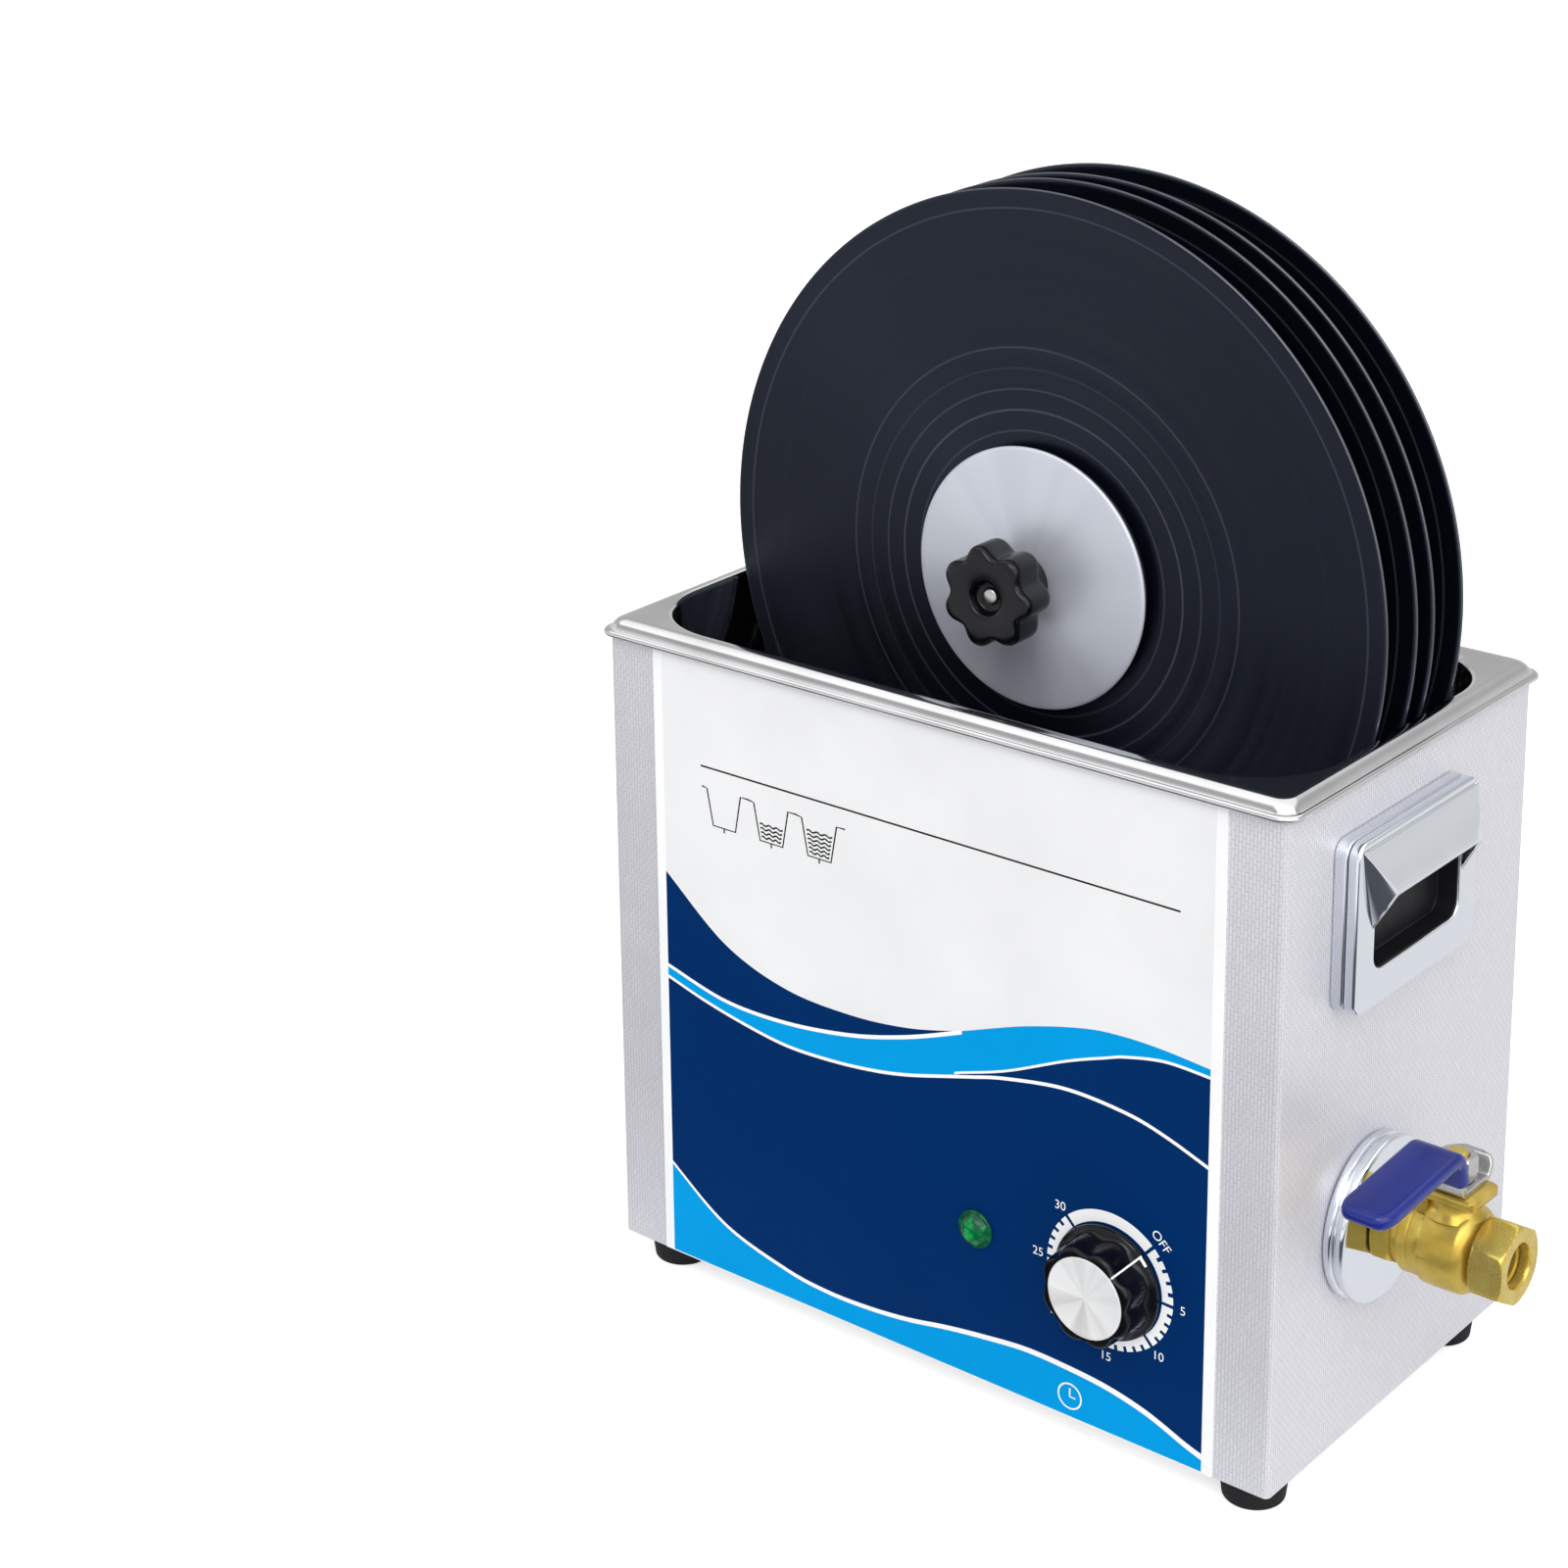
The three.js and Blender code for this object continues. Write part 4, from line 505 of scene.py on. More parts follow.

# %% [markdown]
# The lamp's lens is deep green plastic. Its colour is painted bright in the middle, where the bulb sits
# behind it, and darker towards its edge: a painted glow and painted shade. The distance from its axis
# drives that change, and a few broad cells of a Voronoi texture stand for the facets that are moulded
# inside.

# %% Green lens, ceramic and board
lens_green = finish("lens_green", (14, 140, 66), 0.1, Specular_IOR_Level=0.25)
facets = node(lens_green, "ShaderNodeTexVoronoi", [("Vector", own_point(lens_green))], Scale=330.0)
lens_depth = reckon(
    lens_green, "MULTIPLY_ADD", from_axis(lens_green), 100.0, facets.outputs["Distance"]
)
# Painted glow and painted shade: the colour runs from bright green in the middle to dark green at the
# edge.
lens_painted_glow = ramp(
    lens_green,
    grey_ramp(lens_green, lens_depth, 0.0, 1.0, 0.1, 1.3),
    [(0.0, (112, 226, 144)), (0.3, (26, 174, 86)), (0.7, (6, 104, 56)), (1.0, (10, 78, 52))],
)
feed(lens_green, "Base Color", lens_painted_glow)
fired_ceramic = moulded("fired_ceramic", (36, 36, 37), 0.5, 0.7, 0.6, 0.05, 0.5)
green_board = moulded("green_board", (31, 92, 56), 0.3, 0.45, 1.2, 0.03, 0.4)
print("lens, ceramic and board")

# %% [markdown]
# Most pieces here are turned, lofted or swept, so two small builders make nearly all the meshes: one
# takes points and faces, the other joins loops of points into a loft. Both take millimetres. The edges
# are rounded in the points themselves, because a rounded edge is what catches a line of light. Shading
# is smooth, except over edges sharper than a chosen angle.


# %% Mesh builders
def new_piece(name, points, faces, sharp=38):
    mesh = bpy.data.meshes.new(name)
    mesh.from_pydata([Vector(point) * MM for point in points], [], faces)
    shaped = bmesh.new()
    shaped.from_mesh(mesh)
    bmesh.ops.remove_doubles(shaped, verts=shaped.verts, dist=1e-6)
    bmesh.ops.recalc_face_normals(shaped, faces=shaped.faces)
    shaped.to_mesh(mesh)
    shaped.free()
    for face in mesh.polygons:
        face.use_smooth = True
    mesh.set_sharp_from_angle(angle=math.radians(sharp))
    made = bpy.data.objects.new(name, mesh)
    bpy.context.scene.collection.objects.link(made)
    return made


def loft(name, loops, ring=False, sharp=38):
    count = len(loops[0])
    points = [point for loop in loops for point in loop]
    levels = len(loops) if ring else len(loops) - 1
    faces = []
    for level in range(levels):
        low, high = level * count, (level + 1) % len(loops) * count
        for i in range(count):
            j = (i + 1) % count
            faces.append((low + i, low + j, high + j, high + i))
    if not ring:
        faces.append(tuple(range(count))[::-1])
        faces.append(tuple(range(len(points) - count, len(points))))
    return new_piece(name, points, faces, sharp)


print("mesh builders ready")

# %% [markdown]
# A loft needs loops, and these are the ones used most: a circle, whose reach may change with the angle,
# which is how it becomes a hexagon or a lobed knob, and a rectangle with round corners. A turned piece
# is a loft of circles, one for each point of its profile. An arc rounds an edge of a profile or an
# outline in a few steps.


# %% Loops and profiles
def circle(radius, height, sides, shape=None):
    loop = []
    for i in range(sides):
        angle = 2 * math.pi * i / sides
        reach = radius if shape is None else shape(radius, angle)
        loop.append((reach * math.cos(angle), reach * math.sin(angle), height))
    return loop


def turned(name, profile, sides=96, ring=False, sharp=38):
    loops = [circle(max(radius, 0.01), height, sides) for radius, height in profile]
    return loft(name, loops, ring, sharp)


def rectangle(half_x, half_y, radius, height, steps):
    loop = []
    for corner in range(4):
        side_x = 1 if corner in (0, 3) else -1
        side_y = 1 if corner < 2 else -1
        for i in range(steps + 1):
            angle = (corner + i / steps) * math.pi / 2
            x = side_x * (half_x - radius) + radius * math.cos(angle)
            y = side_y * (half_y - radius) + radius * math.sin(angle)
            loop.append((x, y, height))
    return loop


def arc(middle, radius, start, end, steps):
    angles = [math.radians(start + (end - start) * i / steps) for i in range(steps + 1)]
    return [(middle[0] + radius * math.cos(a), middle[1] + radius * math.sin(a)) for a in angles]


print("loops and profiles ready")

# %% [markdown]
# A turned or lofted piece is made upright and then set in place. Four sides of the machine carry such
# pieces, and each has its own directions, so a piece is drawn with its own z pointing out of the side
# that carries it. Dressing a piece gives it a finish, the body it moves with, and the plain solids that
# it stands for.

# %% Directions and dressing
OUT_OF_RIGHT = Matrix(((0, 0, 1), (1, 0, 0), (0, 1, 0)))
OUT_OF_LEFT = Matrix(((0, 0, -1), (-1, 0, 0), (0, 1, 0)))
OUT_OF_FRONT = Matrix(((1, 0, 0), (0, 0, -1), (0, 1, 0)))
OUT_OF_REAR = Matrix(((-1, 0, 0), (0, 0, 1), (0, 1, 0)))


def place(piece, point, turn=None, spin=0.0):
    around = Matrix.Rotation(math.radians(spin), 4, "Z")
    facing = turn.to_4x4() if turn else Matrix.Identity(4)
    piece.matrix_world = Matrix.Translation(HOME + Vector(point) * MM) @ facing @ around
    return piece


def dress(piece, material, body, slot, *nodes):
    piece.data.materials.clear()
    piece.data.materials.append(material)
    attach(piece, body)
    if nodes:
        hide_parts(*nodes)
    return piece


def soften(piece, width, segments, angle):
    rounding = piece.modifiers.new("rounded_edges", "BEVEL")
    rounding.width = width * MM
    rounding.segments = segments
    rounding.limit_method = "ANGLE"
    rounding.angle_limit = math.radians(angle)
    rounding.harden_normals = True
    return piece


print("four sides have their directions")

# %% [markdown]
# The casing is one long sheet bent round the front and both sides, with a narrow lip at the back. A
# Solidify modifier would do, but lofting the outline's outer and inner lines gives clean bends and an
# edge that is easy to round. The holes behind the knob, the lamp and the drain are covered, so they
# stay in the plain solid only.

# %% Casing
SIDE, FRONT, REAR = 156.5, -89.0, 89.0
RIM_TOP, WRAP_TOP = 273.0, 269.6
LIP, BEND, CASING_SHEET = 14.0, 2.4, 1.2


def casing_line(inset, bend):
    x, y = SIDE - inset, REAR - inset
    line = [(LIP - SIDE, y)]
    for sign_x, sign_y, start in ((-1, 1, 90), (-1, -1, 180), (1, -1, 270), (1, 1, 0)):
        line += arc((sign_x * (x - bend), sign_y * (y - bend)), bend, start, start + 90, 6)
    return line + [(SIDE - LIP, y)]


outer_line = casing_line(0, BEND)
inner_line = casing_line(CASING_SHEET, BEND - CASING_SHEET)
casing_outline = outer_line + inner_line[::-1]
casing = loft("casing_wrap", [[(x, y, z) for x, y in casing_outline] for z in (0, WRAP_TOP)])
soften(place(casing, (0, 0, 0)), 0.3, 2, 50)
dress(casing, linen_steel, "casing", "casing_steel", "outer_casing")
print("casing", [round(value * 1000, 1) for value in casing.dimensions])

# %% [markdown]
# The tank is deep drawn from one sheet and its edge is rolled over into a broad rim that hides the top
# of the casing. The whole thing is one closed loft: up the outside of the bowl, out under the rim,
# round the bead at its edge, up the slope to the top, down through the mouth and along the inside. A
# rim point is given by how far in from the edge and how far under the top it lies. The corners of the
# mouth are 38 mm round and those of the rim only 8 mm, so each level has its own radius.

# %% Tank and rolled rim
WALL_X, WALL_Y, CORNER = 149.98, 81.0, 38.0
RIM_X, RIM_Y, RIM_CORNER, CORNER_SHRINK = 160.49, 93.0, 8.0, 0.4
TANK_FLOOR, DRAFT, FLOOR_BEND, SHEET = 123.0, 3.0, 12.0, 1.0
MOUTH_BEND = 2.5
CORNER_STEPS, BOWL_STEPS = 12, 8


def wall(outward, height):
    return rectangle(WALL_X + outward, WALL_Y + outward, CORNER + outward, height, CORNER_STEPS)


def edge(inset, height):
    corner = RIM_CORNER - CORNER_SHRINK * inset
    return rectangle(RIM_X - inset, RIM_Y - inset, corner, height, CORNER_STEPS)


def bowl(thickness):
    loops = []
    for i in range(BOWL_STEPS + 1):
        angle = math.pi / 2 * i / BOWL_STEPS
        inset = DRAFT + FLOOR_BEND * (1 - math.sin(angle))
        height = TANK_FLOOR + FLOOR_BEND - (FLOOR_BEND + thickness) * math.cos(angle)
        loops.append(wall(thickness * math.sin(angle) - inset, height))
    return loops


def mouth(radius, height, steps):
    spans = [math.pi / 2 * i / steps for i in range(steps + 1)]
    return [wall(radius * (1 - math.cos(s)), height - radius * (1 - math.sin(s))) for s in spans]


rim_under = [(6.4, -1.0), (5.4, -1.2), (4.9, -1.7), (3.2, -4.6), (2.8, -5.4), (2.4, -6.2)]
rim_bead = [(1.81, -6.92), (1.35, -7.0), (0.78, -6.87), (0.32, -6.52), (0.05, -6.0), (0.0, -5.65)]
rim_bead += [(0.05, -5.3), (0.32, -4.78), (0.78, -4.43), (1.35, -4.3), (1.8, -4.36)]
rim_slope = [(2.05, -4.2), (2.12, -4.0), (3.17, -2.34), (3.57, -1.79), (4.05, -1.28), (4.6, -0.86)]
rim_slope += [(5.21, -0.51), (5.86, -0.25), (6.62, -0.06), (7.4, 0.0)]
tank_loops = bowl(SHEET) + [wall(SHEET, RIM_TOP - MOUTH_BEND), wall(MOUTH_BEND, RIM_TOP - SHEET)]
tank_loops += [edge(inset, RIM_TOP + drop) for inset, drop in rim_under + rim_bead + rim_slope]
tank_loops += mouth(MOUTH_BEND, RIM_TOP, 6)[::-1] + bowl(0)[::-1]
tank = place(loft("drawn_tank", tank_loops), (0, 0, 0))
dress(tank, bright_steel, "casing", "tank_steel", "tank")
print("tank", [round(value * 1000, 1) for value in tank.dimensions])

# %% [markdown]
# A domed strainer sits over the drain hole in the tank's floor. It is a small turned dish with a hole in
# its middle and two rings of holes round it. They are black discs just above its face, painted shade for
# the dark inside of each hole, because nobody sees them unless they look straight down.

# %% Drain strainer
DRAIN_X, DRAIN_Y, DRAIN_Z = 117.99, -25.0, 89.0
STRAINER_TOP, STRAINER_FALL = 1.86, 0.0125
HOLE_RADIUS, HOLE_SIDES, SEAT = 0.95, 12, 0.05
strainer_profile = [(0, 1.8), (5, 1.5), (9.5, 0.5), (11, 0.1), (11, 0.0), (0, 0.0)]
strainer = turned("drain_strainer", strainer_profile, 48)
place(strainer, (DRAIN_X, DRAIN_Y, TANK_FLOOR + SEAT))
dress(strainer, bright_steel, "casing", "tank_steel")
hole_points, hole_faces = [], []
for ring, count in ((0.0, 1), (3.0, 6), (6.2, 12)):
    for i in range(count):
        angle = 2 * math.pi * i / count
        x, y = ring * math.cos(angle), ring * math.sin(angle)
        lift = STRAINER_TOP - STRAINER_FALL * (x * x + y * y) + SEAT
        start = len(hole_points)
        hole_points += [(x + px, y + py, lift) for px, py, _ in circle(HOLE_RADIUS, 0, HOLE_SIDES)]
        hole_faces.append(tuple(range(start, start + HOLE_SIDES)))
# The black discs are painted shade for the insides of the holes.
painted_hole_shade = new_piece("strainer_holes", hole_points, hole_faces)
place(painted_hole_shade, (DRAIN_X, DRAIN_Y, TANK_FLOOR))
dress(painted_hole_shade, glossy_black, "casing", "tank_steel")
print("strainer with", len(hole_faces), "holes")

# %% [markdown]
# Four rubber feet stand under the corners. Each is a turned taper with a soft lower edge and a recess
# for its screw, the way such bench feet are moulded.

# %% Feet
foot_profile = [(0, -9), (5.4, -9), (6, -9.6), (6, -12.4), (6.6, -13)]
foot_profile += arc((10.5, -11.5), 1.5, -90, -8, 5)
foot_profile += [(13.2, -1.6), (12.9, -0.7), (12.2, -0.3), (0, -0.3)]
foot_screw_profile = [(0, -6.6), (2.4, -6.9), (3.9, -8.0), (4.1, -8.8), (0, -8.9)]
for corner in ("front_left", "front_right", "rear_left", "rear_right"):
    low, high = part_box("foot_" + corner)
    middle = ((low + high) / 2 - HOME) / MM
    rubber_foot = place(turned("rubber_foot_" + corner, foot_profile, 64), (middle.x, middle.y, 0))
    dress(rubber_foot, foot_rubber, "casing", "rubber", "foot_" + corner)
    foot_screw = turned("foot_screw_" + corner, foot_screw_profile, 32)
    place(foot_screw, (middle.x, middle.y, -0.35))
    dress(foot_screw, plated_steel, "casing", "rubber")
print("four feet with their screws")

# %% [markdown]
# The film's solid keeps its place and gets the clear film's white, which shows at its edge. Its printed
# areas could be painted by nodes, but curved bands are far easier as thin flat shapes laid on the film,
# each a few hundredths of a millimetre above the last, as real coats of ink are. The curves run through
# points read off the photograph and are smoothed by a Catmull-Rom spline.

# %% Film and curve helpers
FILM_FACE, COAT = 0.70, 0.03
FIELD, CURVE_STEP = 128.5, 1.5
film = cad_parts["front_panel"]
film.data.materials.clear()
film.data.materials.append(film_clear)


def on_film(piece, coat, x=0.0, z=0.0, spin=0.0):
    return place(piece, (x, FRONT - FILM_FACE - COAT * coat, z), OUT_OF_FRONT, spin)


def smooth_line(points):
    padded = [points[0]] + list(points) + [points[-1]]
    line = []
    for four in zip(padded, padded[1:], padded[2:], padded[3:]):
        pieces = max(2, int((four[2][0] - four[1][0]) / CURVE_STEP))
        for i in range(pieces):
            t = i / pieces
            weights = (
                -0.5 * t + t * t - 0.5 * t**3,
                1 - 2.5 * t * t + 1.5 * t**3,
                0.5 * t + 2 * t * t - 1.5 * t**3,
                -0.5 * t * t + 0.5 * t**3,
            )
            line.append(tuple(sum(w * p[k] for w, p in zip(weights, four)) for k in (0, 1)))
    line.append(points[-1])
    return line


def height_at(line, x):
    for (x0, z0), (x1, z1) in zip(line, line[1:]):
        if x0 <= x <= x1:
            return z0 + (z1 - z0) * (x - x0) / (x1 - x0)
    (x0, z0), (x1, z1) = (line[0], line[1]) if x < line[0][0] else (line[-2], line[-1])
    return z0 + (z1 - z0) * (x - x0) / (x1 - x0)


def follow(points):
    line = smooth_line(points)
    return lambda x: height_at(line, x)


def printed_band(name, upper, lower, start, end, coat, ink):
    count = max(2, int((end - start) / CURVE_STEP))
    points, faces = [], []
    for i in range(count + 1):
        x = start + (end - start) * i / count
        points += [(x, upper(x), 0), (x, lower(x), 0)]
    for i in range(count):
        faces.append((2 * i, 2 * i + 1, 2 * i + 3, 2 * i + 2))
    return dress(on_film(new_piece(name, points, faces), coat), ink, "casing", "panel_film")


print("film", [round(value * 1000, 1) for value in film.dimensions])

# %% [markdown]
# Five measured curves make the waves: the navy's top, which runs on as the cyan wave's top at the right,
# three white stripes that edge the cyan wave and run on over the navy, and the line over the bottom
# band. A stripe widens from its left end to its right end, as the printed ones do.

# %% Waves
navy_top = follow([(-128.5, 171.5), (-125.5, 168.8), (-97.5, 147.5), (-66.9, 137.4), (-34.7, 136),
                   (-7.5, 138.9), (15.3, 144.5), (20.9, 146.4), (48.3, 156.6), (74.9, 163.8),
                   (92.4, 165.7), (109.6, 165.6), (129.5, 164.1)])
stripe_one = follow([(-129, 130.3), (-126.5, 129.5), (-98, 122.9), (-67.1, 122.8), (-34.8, 127.4),
                     (-7.5, 135), (17.3, 144.5), (24, 147.4)])
stripe_two = follow([(-129, 125.2), (-126.1, 124.4), (-108.6, 119.7), (-87.9, 115.6), (-67.3, 113),
                     (-46.9, 113.4), (-27, 115.4), (-7.5, 119.1), (21, 127.3), (39.5, 132.4),
                     (66.6, 136.8), (93, 135.6), (110.4, 131.7), (130.1, 124.8)])
stripe_three = follow([(14, 126.4), (17.2, 127.8), (39.5, 135.6), (66.5, 148.1), (84, 154.9),
                       (92.6, 157.9), (109.7, 161.3), (129.1, 160.9)])
bottom_line = follow([(-129, 41.8), (-127.9, 40.8), (-100.2, 22.1), (-68.8, 13.2), (-48, 10.8),
                      (-27.6, 11.2), (-7.8, 13.3), (11.7, 17), (30.7, 19.8), (49.6, 21.8),
                      (68.2, 21.4), (86.3, 19.8), (104.2, 15.9), (121.7, 9.3), (129.8, 6.8)])
TOPS_MEET, LOWS_MEET = 20, 17.5


def cyan_top(x):
    return min(stripe_one(x), navy_top(x)) if x < TOPS_MEET else navy_top(x)


def cyan_low(x):
    return stripe_two(x) if x < LOWS_MEET else stripe_three(x)


def white_stripe(name, line, start, end, first_width, last_width):
    def half(x):
        share = (x - start) / (end - start)
        return (first_width + (last_width - first_width) * share) / 2

    return printed_band(
        name, lambda x: line(x) + half(x), lambda x: line(x) - half(x), start, end, 3, ink_white
    )


printed_band("film_ground", lambda x: 264.5, lambda x: 1.5, -FIELD, FIELD, 0.5, film_white)
printed_band("navy_field", navy_top, lambda x: 1.0, -FIELD, FIELD, 1, ink_navy)
printed_band("cyan_wave", cyan_top, cyan_low, -FIELD, FIELD, 2, ink_cyan)
printed_band("cyan_foot", bottom_line, lambda x: 1.0, -FIELD, FIELD, 2, ink_cyan)
white_stripe("white_stripe_1", stripe_one, -FIELD, 19.0, 1.5, 1.8)
white_stripe("white_stripe_2", stripe_two, -FIELD, FIELD, 1.3, 1.5)
white_stripe("white_stripe_3", stripe_three, 15.5, FIELD, 1.0, 1.2)
white_stripe("white_stripe_4", bottom_line, -FIELD, FIELD, 1.4, 2.6)
print("two blues and four white stripes")

# %% [markdown]
# The drawings on the film are lines of even width. One helper turns a line of points into a flat ribbon,
# the other joins the ribbons of a drawing into one piece. The first drawing is a thin rule across the
# white part of the film.


# %% Strokes
def stroke(points, width):
    sides = ([], [])
    for i, (x, z) in enumerate(points):
        before = points[max(i - 1, 0)]
        after = points[min(i + 1, len(points) - 1)]
        dx, dz = after[0] - before[0], after[1] - before[1]
        length = math.hypot(dx, dz)
        nx, nz = -dz / length * width / 2, dx / length * width / 2
        sides[0].append((x + nx, z + nz, 0))
        sides[1].append((x - nx, z - nz, 0))
    count = len(points)
    faces = [(i, i + 1, count + i + 1, count + i) for i in range(count - 1)]
    return sides[0] + sides[1], faces


def strokes(name, lines, width, coat, ink):
    points, faces = [], []
    for line in lines:
        more, quads = stroke(line, width)
        faces += [tuple(index + len(points) for index in quad) for quad in quads]
        points += more
    piece = on_film(new_piece(name, points, faces), coat)
    return dress(piece, ink, "casing", "panel_film")


strokes("panel_rule", [[(-109, 221.5), (114.5, 221.3)]], 0.8, 1, ink_black)
print("rule across the film")

# %% [markdown]
# Under the rule stand three little tubs, empty, half full and three quarters full, as a guide to
# filling. Their water is drawn as rows of ripples, and a short line under each floor stands for the
# drain. A plain clock with two hands is drawn below the timer.

# %% Tubs and clock
TUB_TOP, TUB_FLOOR, TUB_LEAN, TUB_ROWS = 213.0, 197.5, 2.6, 8
RIPPLE, RIPPLE_POINTS = 0.42, 16
tub_shape = [(0, TUB_TOP), (2.6, TUB_TOP - 0.4), (5.6, TUB_FLOOR), (17, TUB_FLOOR), (19.8, TUB_TOP)]
tub_shape.append((24, TUB_TOP + 0.1))
tub_lines = []
for left, fill in ((-108.5, 0.0), (-84.5, 0.5), (-60.5, 0.75)):
    tub_lines.append([(left + x, z) for x, z in tub_shape])
    tub_lines.append([(left + 11.2, TUB_FLOOR), (left + 11.2, TUB_FLOOR - 1.9)])
    for row in range(round(fill * TUB_ROWS)):
        z = TUB_FLOOR + 1.7 + row * 1.75
        lean = (z - TUB_FLOOR) / (TUB_TOP - TUB_FLOOR) * TUB_LEAN
        x0, x1 = left + 6.7 - lean, left + 15.9 + lean
        water_line = []
        for i in range(RIPPLE_POINTS + 1):
            x = x0 + (x1 - x0) * i / RIPPLE_POINTS
            water_line.append((x, z + RIPPLE * math.sin(i * math.pi / 2.6)))
        tub_lines.append(water_line)
strokes("filling_guide", tub_lines, 0.75, 1, ink_black)
CLOCK_X, CLOCK_Z, CLOCK_RADIUS, CLOCK_SIDES = 70, 9.6, 5.2, 24
clock_angles = [i / CLOCK_SIDES * math.tau for i in range(CLOCK_SIDES + 1)]
clock_face = [
    (CLOCK_X + CLOCK_RADIUS * math.sin(a), CLOCK_Z + CLOCK_RADIUS * math.cos(a)) for a in clock_angles
]
clock_hands = [(CLOCK_X, 13), (CLOCK_X, 9.4), (CLOCK_X + 2.6, 9.4)]
strokes("clock_mark", [clock_face, clock_hands], 0.7, 4, ink_white)
print("tubs and clock")

# %% [markdown]
# Round the timer a white ring is printed, solid from 30 over the top to OFF and notched at every minute
# elsewhere. It is built from narrow wedges: each is as wide as the ring, cut short at a notch, or left
# out at a five-minute line.

# %% Dial ring
DIAL_X, DIAL_Z = 87.0, 65.0
RING_LOW, RING_NOTCHED, RING_HIGH = 23.2, 25.9, 28.0
LINE_HALF, NOTCH_HALF, RING_STEPS = 1.3, 1.6, 720
marks = [("OFF", 43), ("5", 92), ("10", 137), ("15", 182), ("20", 228), ("25", 271), ("30", 316)]
minute_angles = []
for (_, start), (_, end) in zip(marks, marks[1:]):
    minute_angles += [start + (end - start) * i / 5 for i in range(1, 5)]
ring_points, ring_faces = [], []
for i in range(RING_STEPS):
    clock_angle = (i + 0.5) * 360 / RING_STEPS
    if any(abs(clock_angle - angle) < LINE_HALF for _, angle in marks):
        continue
    notched = any(abs(clock_angle - angle) < NOTCH_HALF for angle in minute_angles)
    start = len(ring_points)
    for angle in (i * math.tau / RING_STEPS, (i + 1) * math.tau / RING_STEPS):
        for radius in (RING_LOW, RING_NOTCHED if notched else RING_HIGH):
            ring_points.append((radius * math.sin(angle), radius * math.cos(angle), 0))
    ring_faces.append((start, start + 1, start + 3, start + 2))
dial_ring = on_film(new_piece("dial_ring", ring_points, ring_faces), 3, DIAL_X, DIAL_Z)
dress(dial_ring, ink_white, "casing", "panel_film")
print("ring of", len(ring_faces), "painted_wedges")

# %% [markdown]
# The figures are Blender's own font. Each is turned into a flat mesh, as the other printed pieces are,
# and set out from the dial's middle at its own angle. Only OFF is tilted to follow the ring.

# %% Figures
for word, angle in marks:
    size, out, spin = (5.4, 32.6, -44) if word == "OFF" else (5.1, 32.2, 0)
    letters = bpy.data.curves.new("figure_" + word, "FONT")
    letters.body = word
    letters.size = size * MM
    letters.align_x = "CENTER"
    letters.align_y = "CENTER"
    letters.fill_mode = "FRONT"
    shown = bpy.data.objects.new("figure_" + word, letters)
    bpy.context.scene.collection.objects.link(shown)
    bpy.context.view_layer.update()
    flat = bpy.data.meshes.new_from_object(shown.evaluated_get(bpy.context.evaluated_depsgraph_get()))
    bpy.data.objects.remove(shown)
    figure = bpy.data.objects.new("dial_" + word, flat)
    bpy.context.scene.collection.objects.link(figure)
    x = DIAL_X + out * math.sin(math.radians(angle))
    z = DIAL_Z + out * math.cos(math.radians(angle))
    dress(on_film(figure, 3, x, z, spin), ink_white, "casing", "panel_film")
print("figures:", ", ".join(word for word, _ in marks))

# %% [markdown]
# The timer's knob is glossy black with a flat skirt and eight soft flutes. A loft does it: the levels
# share one outline whose flutes deepen from nothing at the skirt to their full depth up the grip, so the
# swell from round to fluted comes by itself. The cap is a turned disc with a fine raised edge.

# %% Timer knob
KNOB_LOW, KNOB_TOP = FILM_FACE + 0.8, FILM_FACE + 16.8
KNOB_SPIN, FLUTES, FLUTE_POWER = 22.5, 8, 1.4


def fluted(depth):
    def shape(radius, angle):
        return radius - depth * (0.5 - 0.5 * math.cos(FLUTES * angle)) ** FLUTE_POWER

    return shape


knob_levels = [(20.5, 0.0, 0.0), (22.0, 0.0, 0.0), (22.6, 0.3, 0.0), (22.8, 0.9, 0.0)]
knob_levels += [(22.8, 1.7, 0.0), (22.5, 2.3, 0.0), (21.9, 2.6, 0.1), (21.0, 3.1, 0.5)]
knob_levels += [(20.6, 3.9, 1.1), (20.5, 5.0, 1.6), (20.4, 8.0, 1.9), (20.1, 12.0, 2.0)]
knob_levels += [(19.9, 14.4, 2.0), (19.5, 15.4, 1.9), (18.9, 15.85, 1.6), (18.2, 16.0, 1.0)]
knob_levels += [(16.6, 16.0, 0.0), (16.5, 15.7, 0.0), (16.5, 14.9, 0.0)]
knob_loops = [circle(r, KNOB_LOW + z, 160, fluted(depth)) for r, z, depth in knob_levels]
knob = place(loft("minute_knob", knob_loops), (DIAL_X, FRONT, DIAL_Z), OUT_OF_FRONT, KNOB_SPIN)
dress(knob, glossy_black, "timer", "knob_plastic", "timer_knob")
cap_profile = [(0, KNOB_TOP - 0.2), (14.9, KNOB_TOP - 0.2), (15.3, KNOB_TOP - 0.02), (15.9, KNOB_TOP)]
cap_profile += [(16.2, KNOB_TOP - 0.2), (16.2, KNOB_TOP - 1.0), (0, KNOB_TOP - 1.0)]
cap = turned("knob_face", cap_profile, 128, sharp=25)
place(cap, (DIAL_X, FRONT, DIAL_Z), OUT_OF_FRONT)
dress(cap, spun_cap, "timer", "aluminium", "knob_cap")
print("knob with", len(knob.data.vertices), "points")

# %% [markdown]
# A white line runs from the cap down the grip to the skirt's edge and ends in a short hook. It is a thin
# ribbon laid a little above the surface, along the same outline that the knob was made with.

# %% Pointer line
POINTER, LINE_WIDTH, LINE_LIFT = 47.0, 0.75, 0.08
HOOK_SWEEP, HOOK_STEPS = 11, 8
grip_heights = [15.85, 15.4, 14.4, 12.0, 10.0, 8.0, 6.5, 5.0, 3.9, 3.1, 2.6, 2.3, 1.7]


